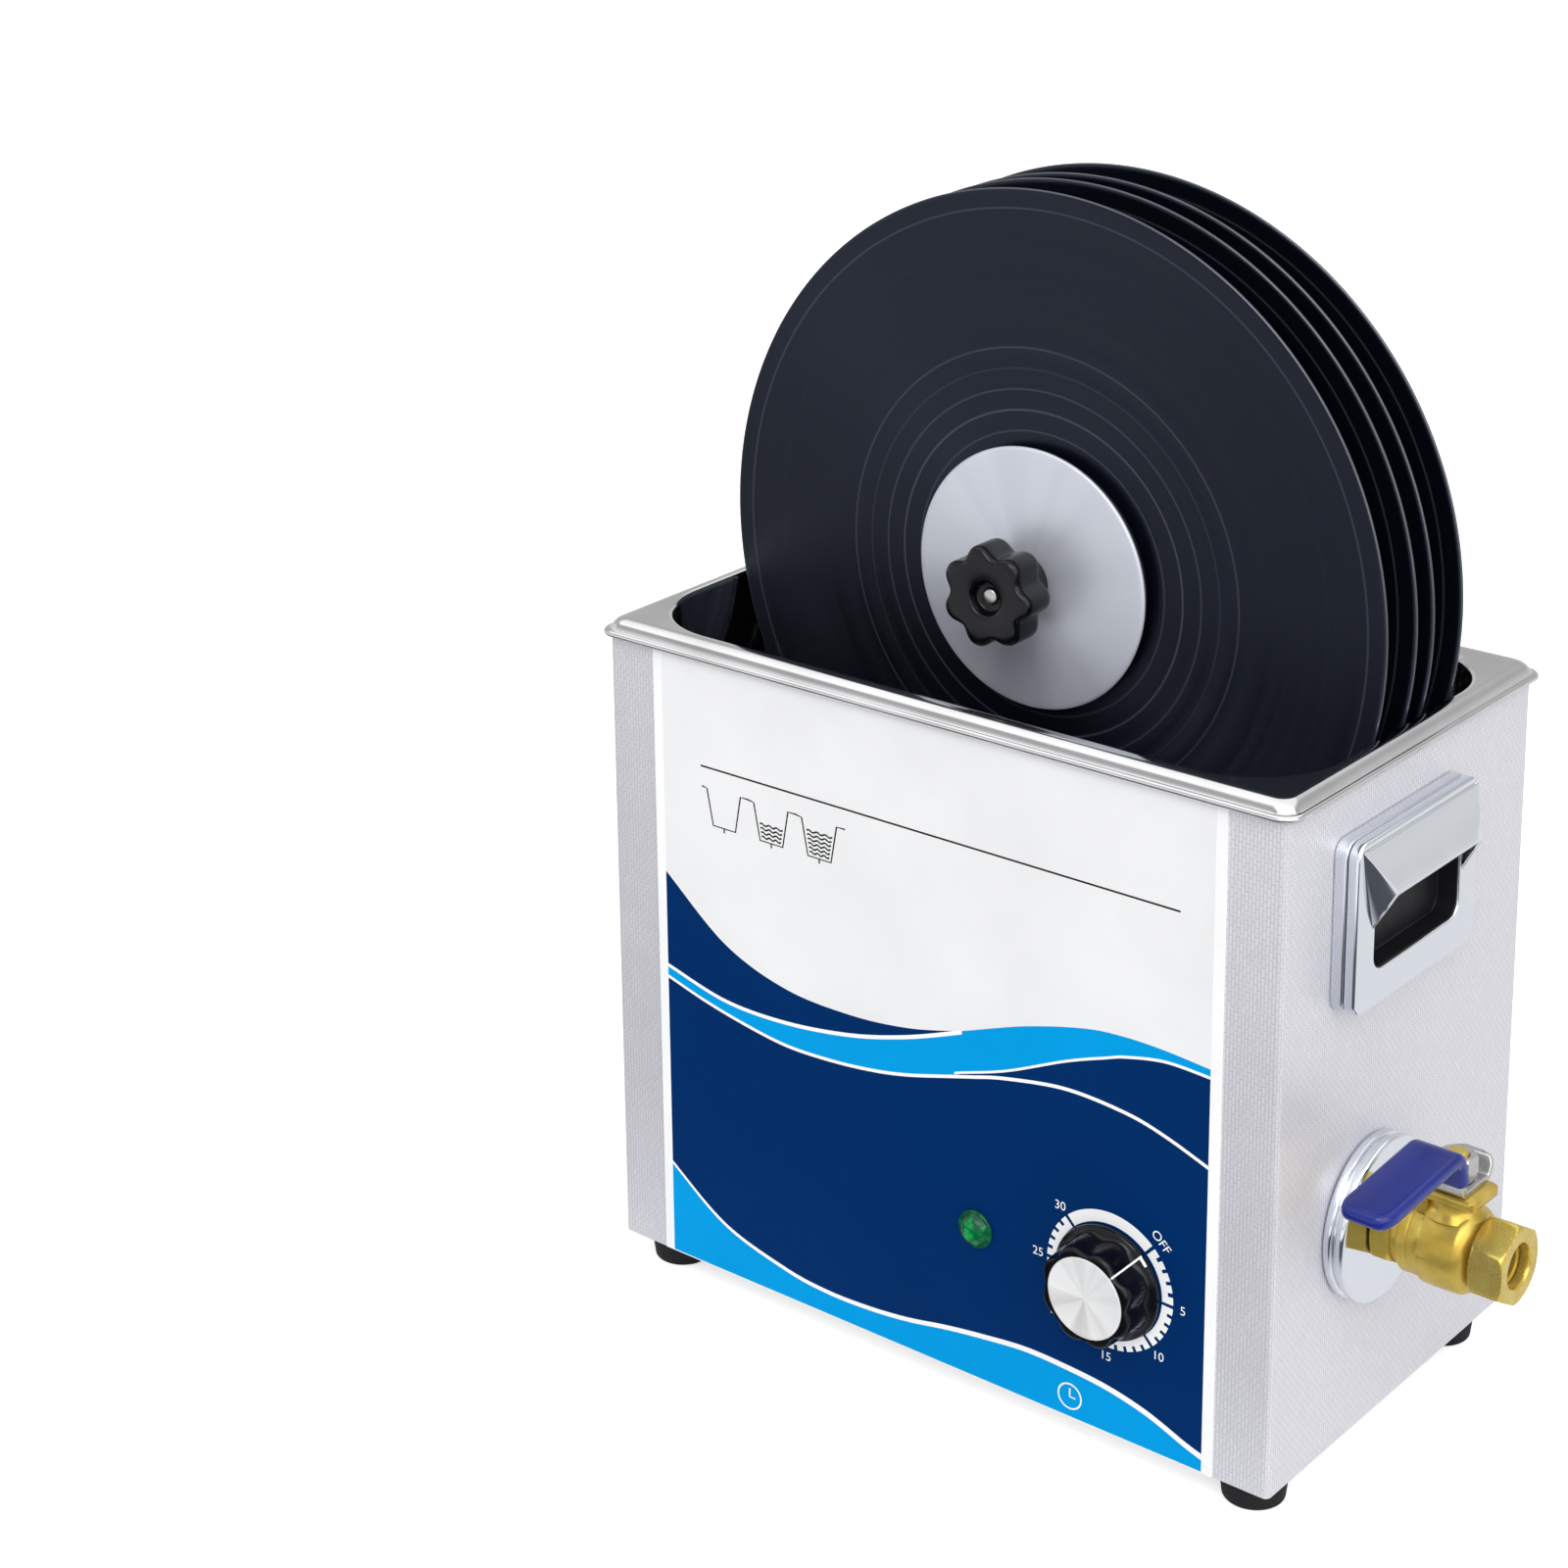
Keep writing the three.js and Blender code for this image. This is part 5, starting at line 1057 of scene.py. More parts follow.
def knob_radius(height, spin):
    for (r0, z0, d0), (r1, z1, d1) in zip(knob_levels, knob_levels[1:]):
        if z0 <= height <= z1 and z1 > z0:
            share = (height - z0) / (z1 - z0)
            radius, depth = r0 + (r1 - r0) * share, d0 + (d1 - d0) * share
            return fluted(depth)(radius, math.radians(spin - KNOB_SPIN))
    return knob_levels[-1][0]


def knob_point(radius, angle, height):
    return (radius * math.cos(angle), radius * math.sin(angle), KNOB_LOW + height)


line_angle = math.radians(POINTER)
ribbon_points = []
for height in grip_heights:
    radius = knob_radius(height, POINTER) + LINE_LIFT
    for side in (-0.5, 0.5):
        angle = line_angle + side * LINE_WIDTH / radius
        ribbon_points.append(knob_point(radius, angle, height + LINE_LIFT / 2))
quad_starts = [2 * i for i in range(len(grip_heights) - 1)]
quad_starts += [len(ribbon_points) + 2 * i for i in range(HOOK_STEPS)]
for i in range(HOOK_STEPS + 1):
    angle = math.radians(POINTER + 1 - HOOK_SWEEP * i / HOOK_STEPS)
    ribbon_points += [knob_point(22.0, angle, 2.72), knob_point(22.85, angle, 2.05)]
quad_starts.append(len(ribbon_points))
for radius, lift in ((16.6, 16.03), (18.9, 15.75)):
    for side in (-0.4, 0.4):
        ribbon_points.append(knob_point(radius, line_angle + side / radius, lift))
ribbon_faces = [(start, start + 1, start + 3, start + 2) for start in quad_starts]
pointer_line = new_piece("pointer_line", ribbon_points, ribbon_faces)
place(pointer_line, (DIAL_X, FRONT, DIAL_Z), OUT_OF_FRONT)
dress(pointer_line, ink_white, "timer", "knob_plastic")
print("pointer at", POINTER, "degrees")

# %% [markdown]
# The lamp is a smooth green dome on a flat rim, so it is one plain turning. The rows of facets lie
# inside the moulding, under the smooth skin, and are left to the material made above.

# %% Indicator lamp
LAMP_X = 26.0
lens_profile = [(0, 5.7), (1.6, 5.62), (3.4, 5.2), (5.0, 4.3), (6.1, 3.1), (6.5, 2.3), (6.6, 2.15)]
lens_profile += [(7.4, 2.1), (7.7, 1.8), (7.8, 1.5), (7.8, 1.05), (0, 1.05)]
lens = place(turned("lamp_dome", lens_profile, 64), (LAMP_X, FRONT, DIAL_Z), OUT_OF_FRONT)
dress(lens, lens_green, "casing", "lamp_green", "lamp_lens")
print("lamp", [round(value * 1000, 1) for value in lens.dimensions])

# %% [markdown]
# Each side carries a handle: a chromed backing frame with a dark lined recess for the fingers, a
# polished cover with a window, and a hood pressed out over the window. A boolean cut would leave hard
# edges. Instead the backing and the cover are lofted round their own section, from the outer edge over
# the face to the window and back underneath, so both edges are rounded and the mesh is one closed ring.

# %% Handle frames
HANDLE_Y, HANDLE_Z = -13.0, 215.0
COVER_X, COVER_Y, COVER_CORNER = 44, 33, 6
WINDOW_X, WINDOW_LOW, WINDOW_HIGH, WINDOW_CORNER = 31.0, -19.0, 24.0, 6.0
WINDOW_ROUND, HANDLE_STEPS = 0.8, 8


def window_loop(grow, height):
    middle = (WINDOW_LOW + WINDOW_HIGH) / 2
    half = (WINDOW_HIGH - WINDOW_LOW) / 2 + grow
    loop = rectangle(WINDOW_X + grow, half, WINDOW_CORNER + grow, height, HANDLE_STEPS)
    return [(x, y + middle, z) for x, y, z in loop]


def outer_loop(inset, height):
    return rectangle(COVER_X - inset, COVER_Y - inset, COVER_CORNER - inset, height, HANDLE_STEPS)


def rounded_frame(name, low, high, edge_radius, low_radius):
    rims = [(low_radius, low), (low_radius * 0.3, low + low_radius * 0.3), (0, low + low_radius)]
    for i in range(5):
        turn = math.pi / 2 * i / 4
        inset = edge_radius * (1 - math.cos(turn))
        rims.append((inset, high - edge_radius * (1 - math.sin(turn))))
    loops = [outer_loop(inset, height) for inset, height in rims]
    for i in range(4):
        turn = math.pi / 2 * i / 3
        inset = WINDOW_ROUND * (1 - math.sin(turn))
        loops.append(window_loop(inset, high - WINDOW_ROUND * (1 - math.cos(turn))))
    loops.append(window_loop(0, low))
    return loft(name, loops, ring=True)


print("handle frames ready")

# %% [markdown]
# A pressed or bent sheet has no sharp folds, so the next helper rounds the corners of a line. It steps
# back from a corner both ways and joins the two points by a quadratic Bezier curve, whose middle point
# is the corner. The hood, the lever and the rack's bracket are all drawn with it.


# %% Fillets
def filleted(points, radius, steps=7):
    line = [points[0]]
    for before, corner, after in zip(points, points[1:], points[2:]):
        a, b, c = Vector(before), Vector(corner), Vector(after)
        back, on = (a - b).normalized(), (c - b).normalized()
        half = math.acos(max(-1, min(1, back.dot(on)))) / 2
        reach = min(radius / math.tan(half), (a - b).length * 0.45, (c - b).length * 0.45)
        start, end = b + back * reach, b + on * reach
        for i in range(steps + 1):
            t = i / steps
            line.append(tuple(start * (1 - t) ** 2 + b * 2 * t * (1 - t) + end * t * t))
    line.append(points[-1])
    return line


print("fillets ready")

# %% [markdown]
# The hood is one pressed skin. Its face leans out from the ridge to the lip, and at both ends a cheek
# runs from the fold back to the cover, down to the window's corner. Each row of the skin is a line over
# both cheeks and the face with its two folds filleted, and a Solidify modifier gives it the thickness of
# the sheet, so the lip shows an edge from below.

# %% Handles
HOOD_ROWS, HOOD_COLUMNS, HOOD_SHEET, FOLD_RADIUS, RIDGE_SHARE = 20, 24, 1.2, 1.5, 0.03
RIDGE_FOLD, LIP_FOLD = (42.2, 31.2, 10.3), (30.6, 13.0, 18.7)
RIDGE_FOOT, LIP_FOOT = (42.2, 31.2, 10.1), (32.8, -2.0, 10.1)


def between(start, end, share):
    return Vector(start).lerp(Vector(end), share)


def hood_row(share):
    swell = 0.4 * math.sin(share * math.pi)
    fold = between(RIDGE_FOLD, LIP_FOLD, share) + Vector((0, 0.4, 0.9)) * swell
    foot = between(RIDGE_FOOT, LIP_FOOT, share)
    other_foot, other_fold = [Vector((-point.x, point.y, point.z)) for point in (foot, fold)]
    line = filleted([other_foot, other_fold, fold, foot], FOLD_RADIUS, 6)
    half = len(line) // 2
    face = [between(line[half - 1], line[half], i / HOOD_COLUMNS) for i in range(1, HOOD_COLUMNS)]
    return [tuple(point) for point in line[:half] + face + line[half:]]


def hood(name):
    shares = [RIDGE_SHARE + (1 - RIDGE_SHARE) * row / HOOD_ROWS for row in range(HOOD_ROWS + 1)]
    rows = [hood_row(share) for share in shares]
    width = len(rows[0])
    faces = []
    for row in range(HOOD_ROWS):
        for i in range(width - 1):
            a = row * width + i
            faces.append((a, a + 1, a + width + 1, a + width))
    skin = new_piece(name, [point for row in rows for point in row], faces, sharp=70)
    thickness = skin.modifiers.new("sheet", "SOLIDIFY")
    thickness.thickness = HOOD_SHEET * MM
    thickness.offset = -1
    return skin


for side, turn, sign in (("right", OUT_OF_RIGHT, 1), ("left", OUT_OF_LEFT, -1)):
    handle_point = (sign * SIDE, HANDLE_Y, HANDLE_Z)
    backing = place(rounded_frame(f"{side}_finger_recess", 0.3, 5.2, 0.8, 0.2), handle_point, turn)
    dress(backing, clouded_chrome, "casing", "chrome", f"{side}_handle_backing")
    lining_loops = [window_loop(0.6, 0.3), window_loop(0.6, 9.2), window_loop(-0.25, 9.2)]
    lining_loops += [window_loop(-0.25, 1.6), window_loop(-0.6, 1.3)]
    lining = place(loft(f"{side}_recess_lining", lining_loops), handle_point, turn)
    dress(lining, sparked_black, "casing", "black_plastic")
    # A black ring between the backing and the cover is painted shadow: it stands for the dark shade in the
    # seam between them.
    seam_shadow_loops = [rectangle(42.7, 31.7, 4.8, height, HANDLE_STEPS) for height in (4.6, 6.4)]
    seam_shadow_loops += [window_loop(2, 6.4), window_loop(2, 4.6)]
    seam_shadow_ring = place(loft(f"{side}_painted_seam_shadow", seam_shadow_loops, ring=True), handle_point, turn)
    dress(seam_shadow_ring, sparked_black, "casing", "black_plastic")
    cover = place(rounded_frame(f"{side}_polished_cover", 5.8, 10.3, 1.2, 0.4), handle_point, turn)
    dress(cover, clouded_chrome, "casing", "chrome", f"{side}_handle_cover")
    flap = place(hood(f"{side}_pressed_hood"), handle_point, turn)
    dress(flap, clouded_chrome, "casing", "chrome")
print("two handles")

# %% [markdown]
# The drain comes out through a heavy chromed escutcheon with a groove round its rim. It is a plain
# turning, so its profile says everything: the rounded edges, the groove and the slightly dished face.

# %% Escutcheon
escutcheon_profile = [(10.6, 0.3), (30.6, 0.3), (31.6, 0.8), (32.0, 1.6), (32.0, 3.4), (31.7, 3.9)]
escutcheon_profile += [(30.4, 4.3), (30.2, 4.8), (30.4, 5.3), (31.7, 5.7), (32.0, 6.2), (32.0, 8.0)]
escutcheon_profile += [(31.7, 8.8), (30.9, 9.3), (29.6, 9.3), (27.5, 8.9), (12.5, 8.9), (10.6, 9.1)]
escutcheon = turned("chromed_escutcheon", escutcheon_profile, 128, ring=True, sharp=50)
place(escutcheon, (SIDE, DRAIN_Y, DRAIN_Z), OUT_OF_RIGHT)
dress(escutcheon, clouded_chrome, "casing", "chrome", "drain_escutcheon")
print("escutcheon", round(escutcheon.dimensions.x * 1000, 1), "mm across")

# %% [markdown]
# A ball valve's body is a hot-pressed brass forging with turned ends. A hexagon for the spanner, a neck,
# a barrel and a wider band follow each other along the pipe, and a round boss for the stem stands on
# top. The hexagons are lofts whose outline blends from a circle to six sides, which gives the curved
# chamfers that a turned nut has.

# %% Hexagons
VALVE_START = 9.6


def hexagonal(flats):
    def shape(radius, angle):
        sector = (angle + math.pi / 6) % (math.pi / 3) - math.pi / 6
        return min(radius, flats / 2 / math.cos(sector))

    return shape


def hex_loops(flats, low, high, chamfer=1.3, sides=144):
    inner, corner = flats / 2, flats / 2 / math.cos(math.pi / 6)
    shares = [i / 4 for i in range(5)]
    levels = [(share, low + chamfer * share**1.5) for share in shares]
    levels += [(share, high - chamfer * share**1.5) for share in reversed(shares)]
    loops = [circle(inner * 0.985, low, sides)]
    for share, height in levels:
        loops.append(circle(inner + (corner - inner) * share, height, sides, hexagonal(flats)))
    loops.append(circle(inner * 0.985, high, sides))
    return loops


print("hexagons ready")

# %% [markdown]
# The body's hexagon and all that follows it along the pipe are one long loft, so no joint shows between
# them. The profile ends inside, in the bore that the union nut's mouth shows.

# %% Valve body
STEM = VALVE_START + 27
body_loops = hex_loops(27, VALVE_START + 0.02, VALVE_START + 8)
body_profile = [(12.9, 8.02), (12.9, 10.6), (13.4, 11.0), (14.8, 11.2), (15.2, 11.7), (15.2, 14.6)]
body_profile += [(14.9, 14.9), (14.9, 15.5), (15.2, 15.8), (15.2, 19.2), (15.5, 19.7), (16.3, 20.0)]
body_profile += [(16.6, 20.5), (16.75, 27.0), (16.6, 34.0), (16.3, 35.2), (15.3, 36.6), (13.4, 38.0)]
body_profile += [(12.0, 38.5), (10.9, 39.0), (10.8, 39.4), (10.8, 48.9), (8.2, 49.0), (7.0, 48.4)]
body_profile += [(7.0, 36.0), (0, 35.9)]
body_loops += [circle(radius, VALVE_START + along, 144) for radius, along in body_profile]
valve = loft("forged_valve_body", body_loops, sharp=32)
place(valve, (SIDE, DRAIN_Y, DRAIN_Z), OUT_OF_RIGHT)
dress(valve, cast_brass, "casing", "brass", "valve_body")
print("valve body with", len(valve.data.vertices), "points")

# %% [markdown]
# The boss, the plate that stops the lever and the ridge that the two halves of the forging die leave
# along the body are small pieces set into it, as they would be hard to draw in the same loft.

# %% Boss, stop plate and seam
SEAM_START, SEAM_END, SEAM_STEPS, SEAM_HALF = 20.6, 34.2, 8, 0.28
boss_profile = [(11.6, 13.5), (10.2, 15.0), (9.4, 16.2), (9.0, 17.2), (9.0, 20.1), (0, 20.2)]
boss = place(turned("stem_boss", boss_profile, 96), (SIDE + STEM, DRAIN_Y, DRAIN_Z))
dress(boss, cast_brass, "casing", "brass")
stop_levels = ((0.6, 20.0), (0.0, 20.6), (0.0, 23.4), (0.6, 24.0))
stop_loops = [rectangle(12.5 - inset, 10 - inset, 2.5, height, 6) for inset, height in stop_levels]
stop_plate = place(loft("stop_plate", stop_loops, sharp=50), (SIDE + STEM, DRAIN_Y, DRAIN_Z))
dress(stop_plate, cast_brass, "casing", "brass")
rib_loops = [rectangle(2.0, 2.6, 0.9, height, 4) for height in (13.0, 20.6)]
stop_rib = place(loft("stop_rib", rib_loops), (SIDE + STEM - 9.2, DRAIN_Y - 6.0, DRAIN_Z))
dress(stop_rib, cast_brass, "casing", "brass")
seam_section = ((-16.9, 1), (-16.9, -1), (-16.0, -1.6), (-16.0, 1.6))
seam_loops = []
for i in range(SEAM_STEPS + 1):
    half = SEAM_HALF if 0 < i < SEAM_STEPS else SEAM_HALF / 5
    along = VALVE_START + SEAM_START + (SEAM_END - SEAM_START) * i / SEAM_STEPS
    seam_loops.append([(out, half * share, along) for out, share in seam_section])
seam = place(loft("forging_seam", seam_loops), (SIDE, DRAIN_Y, DRAIN_Z), OUT_OF_RIGHT)
dress(seam, cast_brass, "casing", "brass")
print("boss, stop plate and seam")

# %% [markdown]
# The union nut is screwed on the end, and its open mouth shows a dark bore with a bright turned lip.
# The valve is closed, so a look into the mouth ends on the round of the chromed ball, which stands out
# of the bore's end.

# %% Union nut
UNION = STEM + 13.0
bore_profile = [(11.5, 13.5), (9.3, 13.4), (8.7, 12.9), (8.5, 12.2), (8.5, 9.4), (11.0, 9.3), (11.0, 0.0)]
union_loops = hex_loops(28, UNION, UNION + 13.5, 1.5)
union_loops += [circle(radius, UNION + along, 144) for radius, along in bore_profile]
union_nut = loft("union_nut", union_loops, ring=True, sharp=32)
place(union_nut, (SIDE, DRAIN_Y, DRAIN_Z), OUT_OF_RIGHT)
dress(union_nut, turned_brass, "casing", "brass", "valve_union_nut")
print("union nut", [round(value * 1000, 1) for value in union_nut.dimensions])

# %% [markdown]
# The lever is one strip of steel: a short tab, a flat under the nut, a steep rise and a long gentle
# fall. Steel and vinyl grip follow the same line, so one sweep makes both. Its corners are filleted,
# and towards an end the section can draw in, which is how the dipped tip gets its round nose.

# %% Strip sweep
NOSE_WIDTH, END_THICKNESS = 0.45, 0.25


def resampled(line, step):
    made = [Vector(line[0])]
    for a, b in zip(line, line[1:]):
        a, b = Vector(a), Vector(b)
        count = max(1, round((b - a).length / step))
        made += [a + (b - a) * i / count for i in range(1, count + 1)]
    return made


def drawn_in(distance, limit, least):
    share = math.sqrt(max(0.0, 1 - (1 - distance / limit) ** 2))
    return least + (1 - least) * share


def sweep(name, points, half_width, half_thickness, corner, nose, tail, bend):
    line = resampled(filleted(points, bend), 0.8)
    lengths = [0.0]
    for a, b in zip(line, line[1:]):
        lengths.append(lengths[-1] + (b - a).length)
    loops = []
    for i, point in enumerate(line):
        ahead = (line[min(i + 1, len(line) - 1)] - line[max(i - 1, 0)]).normalized()
        normal = Vector((-ahead.y, ahead.x))
        width, thick = half_width, half_thickness
        for limit, distance in ((nose, lengths[-1] - lengths[i]), (tail, lengths[i])):
            skin = min(limit, half_thickness * 1.2)
            if limit and distance < limit:
                width *= drawn_in(distance, limit, NOSE_WIDTH)
            if skin and distance < skin:
                thick *= drawn_in(distance, skin, END_THICKNESS)
        section = rectangle(width, thick, min(corner, thick * 0.98), 0, 6)
        loops.append([(x, point.x + normal.x * y, point.y + normal.y * y) for x, y, _ in section])
    return loft(name, loops, sharp=50)


print("sweep ready")

# %% [markdown]
# Lever, grip, stem and nut turn together about the stem, so all four ride on the lever's body. The grip
# is a little wider and thicker than the strip inside it, as a dipped skin is.

# %% Lever, grip, stem and nut
LEVER_FLAT = 25.55
NUT_LOW, NUT_TOP, NUT_SIDES = 27.1, 36.6, 96
strip_line = [(13, LEVER_FLAT + 8), (9, LEVER_FLAT), (-9, LEVER_FLAT), (-15, LEVER_FLAT + 18)]
strip_line.append((-68, LEVER_FLAT + 15))
lever = sweep("lever_strip", strip_line, 8.5, 1.25, 0.5, nose=7.0, tail=5.0, bend=2.5)
place(lever, (SIDE + STEM, DRAIN_Y, DRAIN_Z))
dress(lever, plated_steel, "lever", "steel", "valve_lever")
grip_line = [(-10.8, LEVER_FLAT + 5.4), (-15.0, LEVER_FLAT + 18), (-70.2, LEVER_FLAT + 14.88)]
grip = sweep("dipped_grip", grip_line, 10.45, 2.95, 2.4, nose=8.5, tail=1.2, bend=5.0)
place(grip, (SIDE + STEM, DRAIN_Y, DRAIN_Z))
dress(grip, dipped_vinyl, "lever", "grip_vinyl", "lever_grip")
stem_profile = [(4.0, 20.0), (4.0, 37.0), (3.6, 37.6), (2.8, 37.8), (0, 37.8)]
stem = place(turned("threaded_stem", stem_profile, 48), (SIDE + STEM, DRAIN_Y, DRAIN_Z))
dress(stem, turned_brass, "lever", "brass", "valve_stem")
lever_nut_loops = hex_loops(13, NUT_LOW, NUT_TOP, 1.2, NUT_SIDES)
for radius, height in ((4.9, NUT_TOP), (4.15, NUT_TOP - 0.8), (4.15, NUT_LOW)):
    lever_nut_loops.append(circle(radius, height, NUT_SIDES))
lever_nut = loft("stem_nut", lever_nut_loops, ring=True, sharp=32)
place(lever_nut, (SIDE + STEM, DRAIN_Y, DRAIN_Z))
dress(lever_nut, plated_steel, "lever", "steel", "lever_nut")
print("lever", [round(value * 1000, 1) for value in lever.dimensions])

# %% [markdown]
# The rack carries four records on one spindle. Everything on it is round, so it is all turned about
# the spindle's line. A record is a thin disc with a raised bead at its edge and a plain middle, and the
# groove lies a little lower between them. The bead draws the bright lines between the discs, so its
# outermost skin is a ring of its own, glossier than the groove and painted lighter: a painted highlight.

# %% Rack axis and records
AXIS_Z = 303.0
RECORD_MIDDLES, RECORD_SIDES = (13.5, -8.0, -20.5, -42.0), 256


def on_axis(piece):
    return place(piece, (0, 0, AXIS_Z), OUT_OF_FRONT)


record_half = [(3.62, 0.9), (3.8, 1.0), (50.5, 1.0), (51.5, 0.96), (54.0, 0.8), (146.4, 0.8)]
record_half += [(147.8, 0.86), (149.2, 1.0), (150.0, 0.88), (150.4, 0.6), (150.5, 0)]
bead_half = [(150.1, 0.72), (150.45, 0.6), (150.7, 0.3), (150.8, 0)]


def both_faces(half, middle):
    over = [(radius, middle + lift) for radius, lift in half]
    return over + [(radius, middle - lift) for radius, lift in half[-2::-1]]


for number, middle in enumerate(RECORD_MIDDLES, 1):
    disc_profile = both_faces(record_half, middle)
    disc = on_axis(turned(f"vinyl_record_{number}", disc_profile, RECORD_SIDES, ring=True, sharp=30))
    dress(disc, record_vinyl, "spindle", "record_vinyl", f"record_{number}")
    bead_profile = both_faces(bead_half, middle)
    bead = on_axis(turned(f"record_bead_glint_{number}", bead_profile, RECORD_SIDES, ring=True, sharp=60))
    dress(bead, record_bead_glint, "spindle", "record_vinyl")

# %% [markdown]
# Between the records are spools of black plastic. Their flanges cover the paper labels and keep them
# dry, and their cores keep the discs apart. In front a rubber seal lies on the first label, behind it
# all stands a thick aluminium plate with a boss for its set screws.

# %% Spools, seal and rear plate
flange_half = [(12, -2.6), (12.6, -2.0), (48.6, -2.0), (49.6, -1.7), (50, -1.2), (50, -0.4), (49.6, 0)]
for number, (front, rear) in enumerate(((12.2, -6.7), (-9.3, -19.2), (-21.8, -40.7)), 1):
    front_flange = [(radius, front + lift) for radius, lift in flange_half]
    rear_flange = [(radius, rear - lift) for radius, lift in flange_half]
    spool_profile = [(3.5, front)] + front_flange[::-1] + rear_flange + [(3.5, rear)]
    spool = on_axis(turned(f"label_spool_{number}", spool_profile, 128, ring=True))
    dress(spool, sparked_black, "spindle", "black_plastic", f"label_spacer_{number}")
seal_profile = [(3.5, 14.8), (49.2, 14.8), (49.9, 15.3), (50, 16.2), (49.8, 17.4), (50, 18.2)]
seal_profile += [(49.4, 18.8), (3.5, 18.8)]
seal = on_axis(turned("front_label_seal", seal_profile, 128, ring=True))
dress(seal, foot_rubber, "clamp", "rubber", "label_seal")
rear_profile = [(3.5, -43.3), (51.3, -43.3), (52.2, -44.1), (52.2, -48.4), (51.2, -49.3), (14, -49.3)]
rear_profile += [(12.4, -49.9), (12, -51.2), (12, -57.6), (11.4, -58.3), (4.4, -58.3), (3.5, -57.6)]
rear_plate = on_axis(turned("rear_plate_with_boss", rear_profile, 128, ring=True))
dress(rear_plate, satin_plate, "spindle", "aluminium", "rear_clamp_plate")


def out_of_axis(piece, y, angle):
    turn = Matrix.Rotation(math.radians(angle), 4, "Y")
    piece.matrix_world = Matrix.Translation(HOME + Vector((0, y, AXIS_Z)) * MM) @ turn
    return piece


BOSS_MIDDLE = 54.2
boss_screw_profile = [(0, 11.0), (1.2, 11.0), (1.5, 11.4), (2.4, 11.7), (2.4, 11.92), (0, 11.92)]
for angle in (35, 155, 275):
    boss_screw = turned(f"boss_screw_{angle}", boss_screw_profile, 24)
    dress(out_of_axis(boss_screw, BOSS_MIDDLE, angle), turned_steel, "spindle", "steel")
print("spools, seal and rear plate")

# %% [markdown]
# The front plate is a shallow satin dome with a rolled edge. Light runs across it in soft wedges because
# it was turned and then blasted. The dome is a quarter of a cosine wave, and the plate's back follows it
# 2 mm behind.

# %% Front plate
PLATE_RADIUS, PLATE_BORE, DOME_RISE = 52.2, 3.7, 3.0


def dome(radius, lift):
    return (radius, lift + DOME_RISE * math.cos(min(radius, PLATE_RADIUS) / PLATE_RADIUS * math.pi / 2))


plate_profile = [dome(PLATE_BORE + (50.9 - PLATE_BORE) * i / 24, 21.1) for i in range(25)]
plate_profile += [(51.7, 21.0), (52.15, 20.5), (PLATE_RADIUS, 20.0), (52.0, 19.5), (51.4, 19.15)]
plate_profile += [dome(50.4 + (PLATE_BORE - 50.4) * i / 12, 19.1) for i in range(13)]
front_plate = turned("front_domed_plate", plate_profile, 160, ring=True, sharp=50)
dress(on_axis(front_plate), satin_plate, "clamp", "aluminium", "front_clamp_plate")
print("front plate", [round(value * 1000, 1) for value in front_plate.dimensions])

# %% [markdown]
# The knob that clamps the plate has seven lobes: its outline is a rounded wave, pulled in at both ends
# of the grip. The spindle is a plain turned rod, and its bright end shows deep in the hole in the knob's
# face.

# %% Clamp knob and spindle
LOBES, LOBE_POWER = 7, 1.25


def lobed(depth):
    def shape(radius, angle):
        return radius - depth * (0.5 - 0.5 * math.cos(LOBES * angle)) ** LOBE_POWER

    return shape


star_levels = [(11.0, 24.4, 0), (11.0, 33.2, 0), (11.6, 33.8, 0.0), (16.0, 34.0, 1.6), (18.3, 34.3, 2.8)]
star_levels += [(19.6, 35.2, 3.5), (20.2, 36.4, 3.6), (20.4, 38.0, 3.6), (20.4, 47.6, 3.6)]
star_levels += [(20.2, 48.9, 3.6), (19.6, 50.0, 3.5), (18.6, 50.65, 3.1), (17.2, 50.9, 2.4)]
star_levels += [(15.4, 50.9, 1.2), (12.0, 50.9, 0.2), (8.4, 50.8, 0), (7.3, 50.5, 0), (6.8, 49.9, 0)]
star_levels += [(6.5, 48.6, 0), (6.3, 46.9, 0), (5.9, 46.2, 0), (5.2, 45.95, 0), (3.65, 45.9, 0)]
star_levels += [(3.6, 45.6, 0), (3.6, 24.4, 0)]
star_loops = [circle(radius, height, 224, lobed(depth)) for radius, height, depth in star_levels]
star = on_axis(loft("seven_lobed_knob", star_loops, ring=True, sharp=50))
dress(star, glossy_black, "knob", "knob_plastic", "clamp_knob")
rod_profile = [(0, 47.4), (2.3, 47.4), (3.0, 47.0), (3.4, 46.4), (3.4, -53.0), (3.4, -69.4)]
rod_profile += [(2.9, -69.9), (0, -69.9)]
rod = on_axis(turned("spindle_rod", rod_profile, 64))
dress(rod, turned_steel, "spindle", "steel", "spindle")
print("knob", [round(value * 1000, 1) for value in star.dimensions])

# %% [markdown]
# Behind the records a small gear motor turns the spindle through a coupler. The photograph hides this
# side, so it follows what such racks have: a plain bent bracket hung on the tank's rim, a round gear
# motor held by screws, and a coupler with two pairs of set screws.

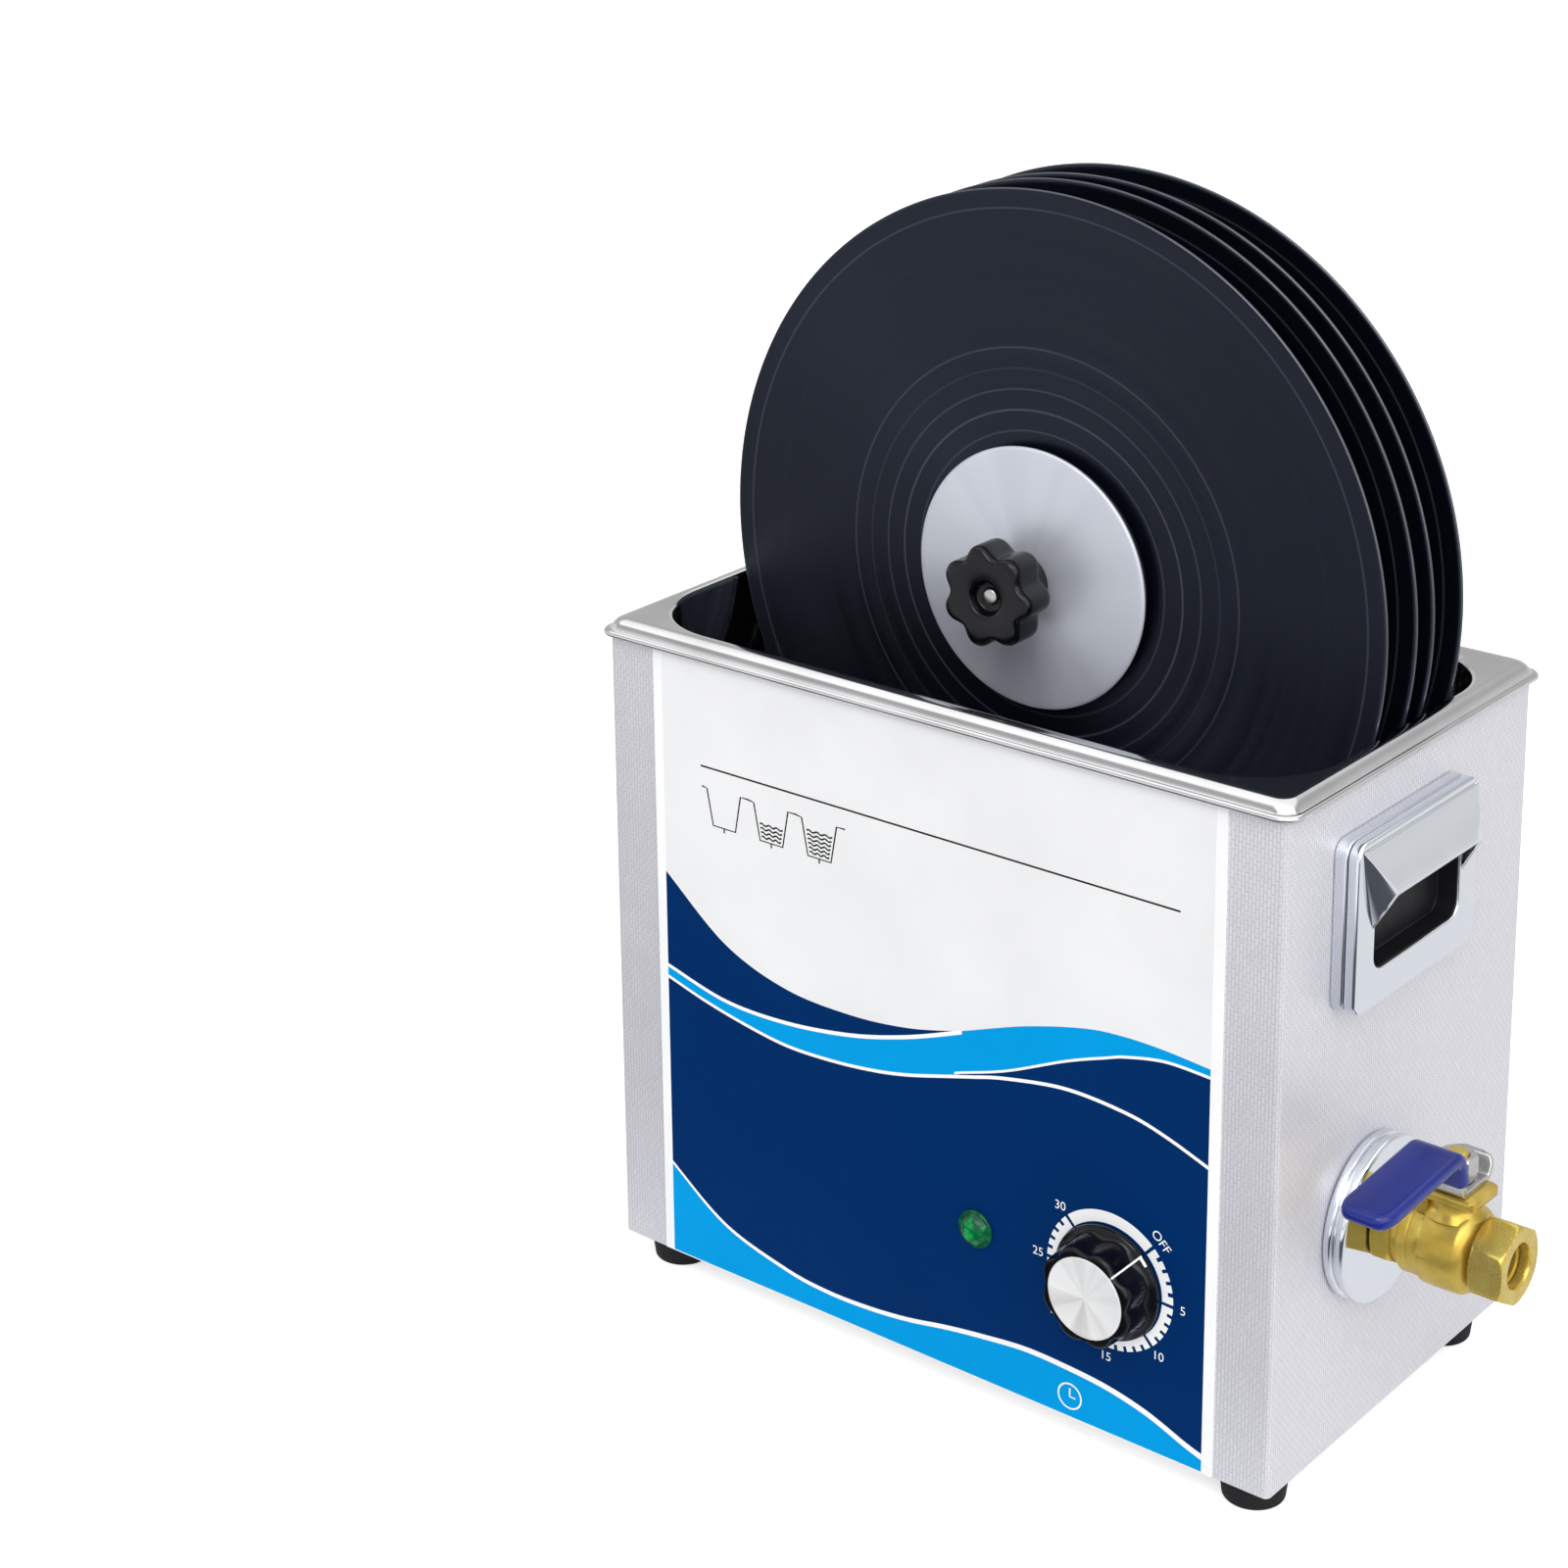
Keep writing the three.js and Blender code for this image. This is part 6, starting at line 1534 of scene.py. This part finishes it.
# %% Coupler
coupler_profile = [(3.5, -61.9), (4.0, -61.2), (7.3, -61.2), (8, -61.9), (8, -70.4), (7.6, -70.7)]
coupler_profile += [(7.6, -71.1), (8, -71.4), (8, -80.5), (7.3, -81.2), (3.6, -81.2), (3.1, -80.6)]
coupler = on_axis(turned("spindle_coupler", coupler_profile, 64, ring=True, sharp=30))
dress(coupler, blasted_aluminium, "spindle", "aluminium", "shaft_coupler")
socket_profile = [(0, 6.9), (1.6, 6.9), (1.9, 7.3), (1.9, 7.85), (1.5, 8.0), (0.8, 8.0)]
socket_profile += [(0.7, 7.5), (0, 7.45)]
for y in (66, 76):
    for angle in (0, 90):
        socket_screw = turned(f"coupler_screw_{y}_{angle}", socket_profile, 24)
        dress(out_of_axis(socket_screw, y, angle), turned_steel, "spindle", "steel")
print("coupler", [round(value * 1000, 1) for value in coupler.dimensions])

# %% [markdown]
# The gear motor is one turning: the shaft, a boss, the wide gear case, and the motor's can with a groove
# near its end. Four screws in the face hold it to the bracket, and two brass tabs at the far end take
# the wires.

# %% Gear motor
LEFT_AND_RIGHT = (("left", -1), ("right", 1))
SCREW_CIRCLE, TAB_OFFSET = 14.6, 8.5
motor_profile = [(0, -70.2), (3.0, -70.2), (3.0, -83.0), (7.4, -83.8), (8.0, -84.3), (8.0, -86.7)]
motor_profile += [(17.6, -86.8), (18.5, -87.6), (18.5, -90.4), (18.1, -90.8), (18.1, -91.3)]
motor_profile += [(18.5, -91.7), (18.5, -106.9), (17.6, -107.8), (14.9, -107.9), (14.0, -108.8)]
motor_profile += [(14.0, -134.0), (13.6, -134.5), (13.6, -135.2), (14.0, -135.8), (14.0, -137.6)]
motor_profile += [(12.9, -138.8), (5.2, -138.8), (4.9, -138.2), (4.4, -137.9), (0, -137.9)]
motor = on_axis(turned("round_gear_motor", motor_profile, 96, sharp=32))
dress(motor, plated_steel, "rack", "steel", "gear_motor")
head_profile = [(0, -84.5), (2.6, -84.5), (2.6, -82.9), (2.1, -82.3), (1.0, -82.3), (0.9, -82.9)]
head_profile.append((0, -82.9))
for angle in (45, 135, 225, 315):
    x = SCREW_CIRCLE * math.cos(math.radians(angle))
    z = AXIS_Z + SCREW_CIRCLE * math.sin(math.radians(angle))
    head = place(turned(f"motor_screw_{angle}", head_profile, 24), (x, 0, z), OUT_OF_FRONT)
    dress(head, turned_steel, "rack", "steel")
for side, sign in LEFT_AND_RIGHT:
    tab = loft(f"motor_tab_{side}", [rectangle(1.9, 0.4, 0.35, height, 3) for height in (137.7, 138.8)])
    place(tab, (sign * TAB_OFFSET, 0, AXIS_Z), OUT_OF_REAR)
    dress(tab, cast_brass, "rack", "brass")
print("motor", [round(value * 1000, 1) for value in motor.dimensions])

# %% [markdown]
# The bracket is one sheet, bent twice: an upright that tapers to a round head, a foot on the rim and a
# hook behind the rim. The upright is drawn flat and gets its thickness by joining a front and a back,
# with the edges drawn in a little.

# %% Bracket upright
BRACKET_HALF, FOOT_LOW = 35.0, -29.7
HEAD_RADIUS, HEAD_STEPS = 24, 32


def plate_of(name, outline, low, high, soft=0.35):
    across = sum(point[0] for point in outline) / len(outline)
    middle = Vector((across, sum(point[1] for point in outline) / len(outline)))
    loops = []
    for inset, height in ((soft, low), (0, low + soft), (0, high - soft), (soft, high)):
        loop = []
        for i, point in enumerate(outline):
            before, after = Vector(outline[i - 1]), Vector(outline[(i + 1) % len(outline)])
            along = (after - before).normalized()
            normal = Vector((-along.y, along.x))
            if normal.dot(middle - Vector(point)) < 0:
                normal = -normal
            moved = Vector(point) + normal * inset
            loop.append((moved.x, moved.y, height))
        loops.append(loop)
    return loft(name, loops, sharp=45)


upright_outline = [(-BRACKET_HALF, FOOT_LOW + 1.6), (BRACKET_HALF, FOOT_LOW + 1.6)]
for i in range(HEAD_STEPS + 1):
    angle = math.pi * i / HEAD_STEPS
    upright_outline.append((HEAD_RADIUS * math.cos(angle), HEAD_RADIUS * math.sin(angle)))
upright = on_axis(plate_of("bracket_upright", upright_outline, -86.5, -84.5))
dress(upright, bright_steel, "rack", "steel", "rack_bracket")
print("bracket", [round(value * 1000, 1) for value in upright.dimensions])

# %% [markdown]
# The foot and the hook are one strip swept along a filleted line, so that the bends have a real inner
# radius. A small gusset at each end stiffens the corner between the upright and the foot, and it is
# drawn flat as the upright is.

# %% Bends and gussets
GUSSET_X = 34.0
bend_corners = [(-85.5, FOOT_LOW + 12.0), (-85.5, FOOT_LOW + 1.0), (-94.6, FOOT_LOW + 1.0)]
bend_corners.append((-94.6, FOOT_LOW - 18.0))
bend_line = [Vector(point) for point in filleted(bend_corners, 1.6, 6)]
bend_section = rectangle(BRACKET_HALF, 1.0, 0.35, 0, 3)
bend_loops = []
for i, point in enumerate(bend_line):
    ahead = (bend_line[min(i + 1, len(bend_line) - 1)] - bend_line[max(i - 1, 0)]).normalized()
    normal = Vector((-ahead.y, ahead.x))
    bend_loops.append([(x, point.y + normal.y * t, point.x + normal.x * t) for x, t, _ in bend_section])
bracket_bend = on_axis(loft("bracket_bend", bend_loops, sharp=50))
dress(bracket_bend, bright_steel, "rack", "steel")
gusset_outline = [(86.4, FOOT_LOW + 1.8), (95.2, FOOT_LOW + 1.8), (95.2, FOOT_LOW + 2.6)]
gusset_outline += [(87.0, FOOT_LOW + 18), (86.4, FOOT_LOW + 18)]
for side, sign in LEFT_AND_RIGHT:
    gusset = plate_of(f"bracket_gusset_{side}", gusset_outline, -1.0, 1.0, 0.25)
    place(gusset, (sign * GUSSET_X, 0, AXIS_Z), OUT_OF_RIGHT)
    dress(gusset, bright_steel, "rack", "steel")
print("bends with", len(bend_line), "steps and two gussets")

# %% [markdown]
# Everything else keeps its plain solid, because its shape is right as it is, and gets a finish of its
# own: the rear panel, the inlet and switch, the fan, the underside and all that sits inside.

# %% Finishes for the plain solids
finishes = {
    "base_plate": bright_steel,
    "rear_panel": linen_steel,
    "drain_elbow": cast_brass,
    "valve_ball": clouded_chrome,
    "timer_body": sparked_black,
    "timer_shaft": turned_steel,
    "lamp_body": sparked_black,
    "power_inlet": sparked_black,
    "switch_frame": sparked_black,
    "rocker_button": glossy_black,
    "fan_frame": sparked_black,
    "fan_rotor": glossy_black,
    "generator_board": green_board,
    "heat_sink": blasted_aluminium,
}
for number in (1, 2):
    finishes[f"transducer_{number}_horn"] = blasted_aluminium
    finishes[f"transducer_{number}_upper_ceramic"] = fired_ceramic
    finishes[f"transducer_{number}_lower_ceramic"] = fired_ceramic
    finishes[f"transducer_{number}_electrode"] = plated_steel
    finishes[f"transducer_{number}_back_mass"] = turned_steel
for name, material in finishes.items():
    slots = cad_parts[name].material_slots
    for slot in slots:
        slot.material = material
    print(name, "has", len(slots), "slots")

# %% [markdown]
# The screws are one shape used many times. A pan head is turned, and its cross is two narrow pits drawn
# as dark bars a hair above the head, painted shade for the pits, which is all that can be seen of a
# cross at this size. They hold the rear panel, the fan and the inlet.

# %% Screws
PANEL_FACE, INLET_FACE, INLET_X, INLET_Z, INLET_SCREW = 87.6, 90.3, -96, 39, 20
PANEL_SCREW_X, PANEL_SCREW_HEIGHTS = 146, (10, 135.7, 261)
FAN_X, FAN_Z, FAN_SCREW = 76, 63, 25
head_shape = [(0.93, 0.32), (0.7, 0.5), (0.4, 0.58), (0, 0.6)]


def pan_screw(name, point, radius, spin):
    profile = [(radius, 0.0), (radius, 0.3)]
    profile += [(radius * across, radius * up) for across, up in head_shape]
    head = place(turned(name, profile, 32), point, OUT_OF_REAR)
    dress(head, plated_steel, "casing", "steel")
    # The dark bars are painted shade for the pits of the cross.
    bars, quads = [], []
    for across, along in ((0.13, 0.6), (0.6, 0.13)):
        start = len(bars)
        for side_x, side_y in ((-1, -1), (1, -1), (1, 1), (-1, 1)):
            bars.append((side_x * across * radius, side_y * along * radius, radius * 0.61))
        quads.append((start, start + 1, start + 2, start + 3))
    cross = place(new_piece(name + "_cross", bars, quads), point, OUT_OF_REAR, spin)
    dress(cross, glossy_black, "casing", "steel")


for row, z in enumerate(PANEL_SCREW_HEIGHTS):
    for side, sign in LEFT_AND_RIGHT:
        screw_point = (sign * PANEL_SCREW_X, PANEL_FACE, z)
        pan_screw(f"panel_screw_{row}_{side}", screw_point, 2.9, 30 * row + 10)
for column, sign_x in ((0, -1), (2, 1)):
    for row, sign_z in ((0, -1), (2, 1)):
        screw_point = (FAN_X + sign_x * FAN_SCREW, PANEL_FACE, FAN_Z + sign_z * FAN_SCREW)
        pan_screw(f"fan_screw_{column}_{row}", screw_point, 2.6, 15)
for column, sign in ((0, -1), (2, 1)):
    pan_screw(f"inlet_screw_{column}", (INLET_X + sign * INLET_SCREW, INLET_FACE, INLET_Z), 2.4, 40)

# %% [markdown]
# The floor is one very large pale sheet, so that its edge lies far behind the picture's upper edge and
# the machine throws a soft shadow on it. For the camera a weak glow lifts it to plain white. Polished
# parts see a studio's floor instead: it turns dark a step in front of the machine and is lit again
# further off, which puts the dark edges into the chrome. The floor is only part of the studio.

# %% Floor
FLOOR_REACH, FLOOR_DROP = 30.0, 0.0002
DARK_FROM, DARK_FULL, LIT_FROM, LIT_FULL = -0.12, -0.2, -0.5, -0.66
floor_corners = [(x * FLOOR_REACH, y * FLOOR_REACH, 0) for x, y in ((-1, -1), (1, -1), (1, 1), (-1, 1))]
floor_mesh = bpy.data.meshes.new("studio_floor")
floor_mesh.from_pydata(floor_corners, [], [(0, 1, 2, 3)])
floor = bpy.data.objects.new("studio_floor", floor_mesh)
floor.location = (0, 0, -FLOOR_DROP)
bpy.context.scene.collection.objects.link(floor)
pale = finish(
    "pale_floor", (240, 240, 240), 0.9, Specular_IOR_Level=0.0, Emission_Color=(1, 1, 1, 1)
)
floor_ray = node(pale, "ShaderNodeLightPath").outputs
floor_point = node(pale, "ShaderNodeNewGeometry").outputs["Position"]
floor_y = node(pale, "ShaderNodeSeparateXYZ", [("Vector", floor_point)]).outputs["Y"]
dark_share = grey_ramp(pale, floor_y, 0.0, 1.0, DARK_FROM, DARK_FULL)
lit_share = grey_ramp(pale, floor_y, 0.0, 1.0, LIT_FROM, LIT_FULL)
dark_step = reckon(pale, "SUBTRACT", dark_share, lit_share)
dim = reckon(pale, "MULTIPLY", dark_step, floor_ray["Is Glossy Ray"])
feed(pale, "Base Color", ramp(pale, dim, [(0.0, (240, 240, 240)), (1.0, (84, 86, 92))]))
far_glow = reckon(pale, "MULTIPLY", lit_share, floor_ray["Is Glossy Ray"])
weak_glow = reckon(pale, "MULTIPLY", far_glow, 0.4)
glow = reckon(pale, "MAXIMUM", floor_ray["Is Camera Ray"], weak_glow)
feed(pale, "Emission Strength", reckon(pale, "MULTIPLY", glow, 0.6))
floor.data.materials.append(pale)
print("floor", FLOOR_REACH * 2, "metres wide")
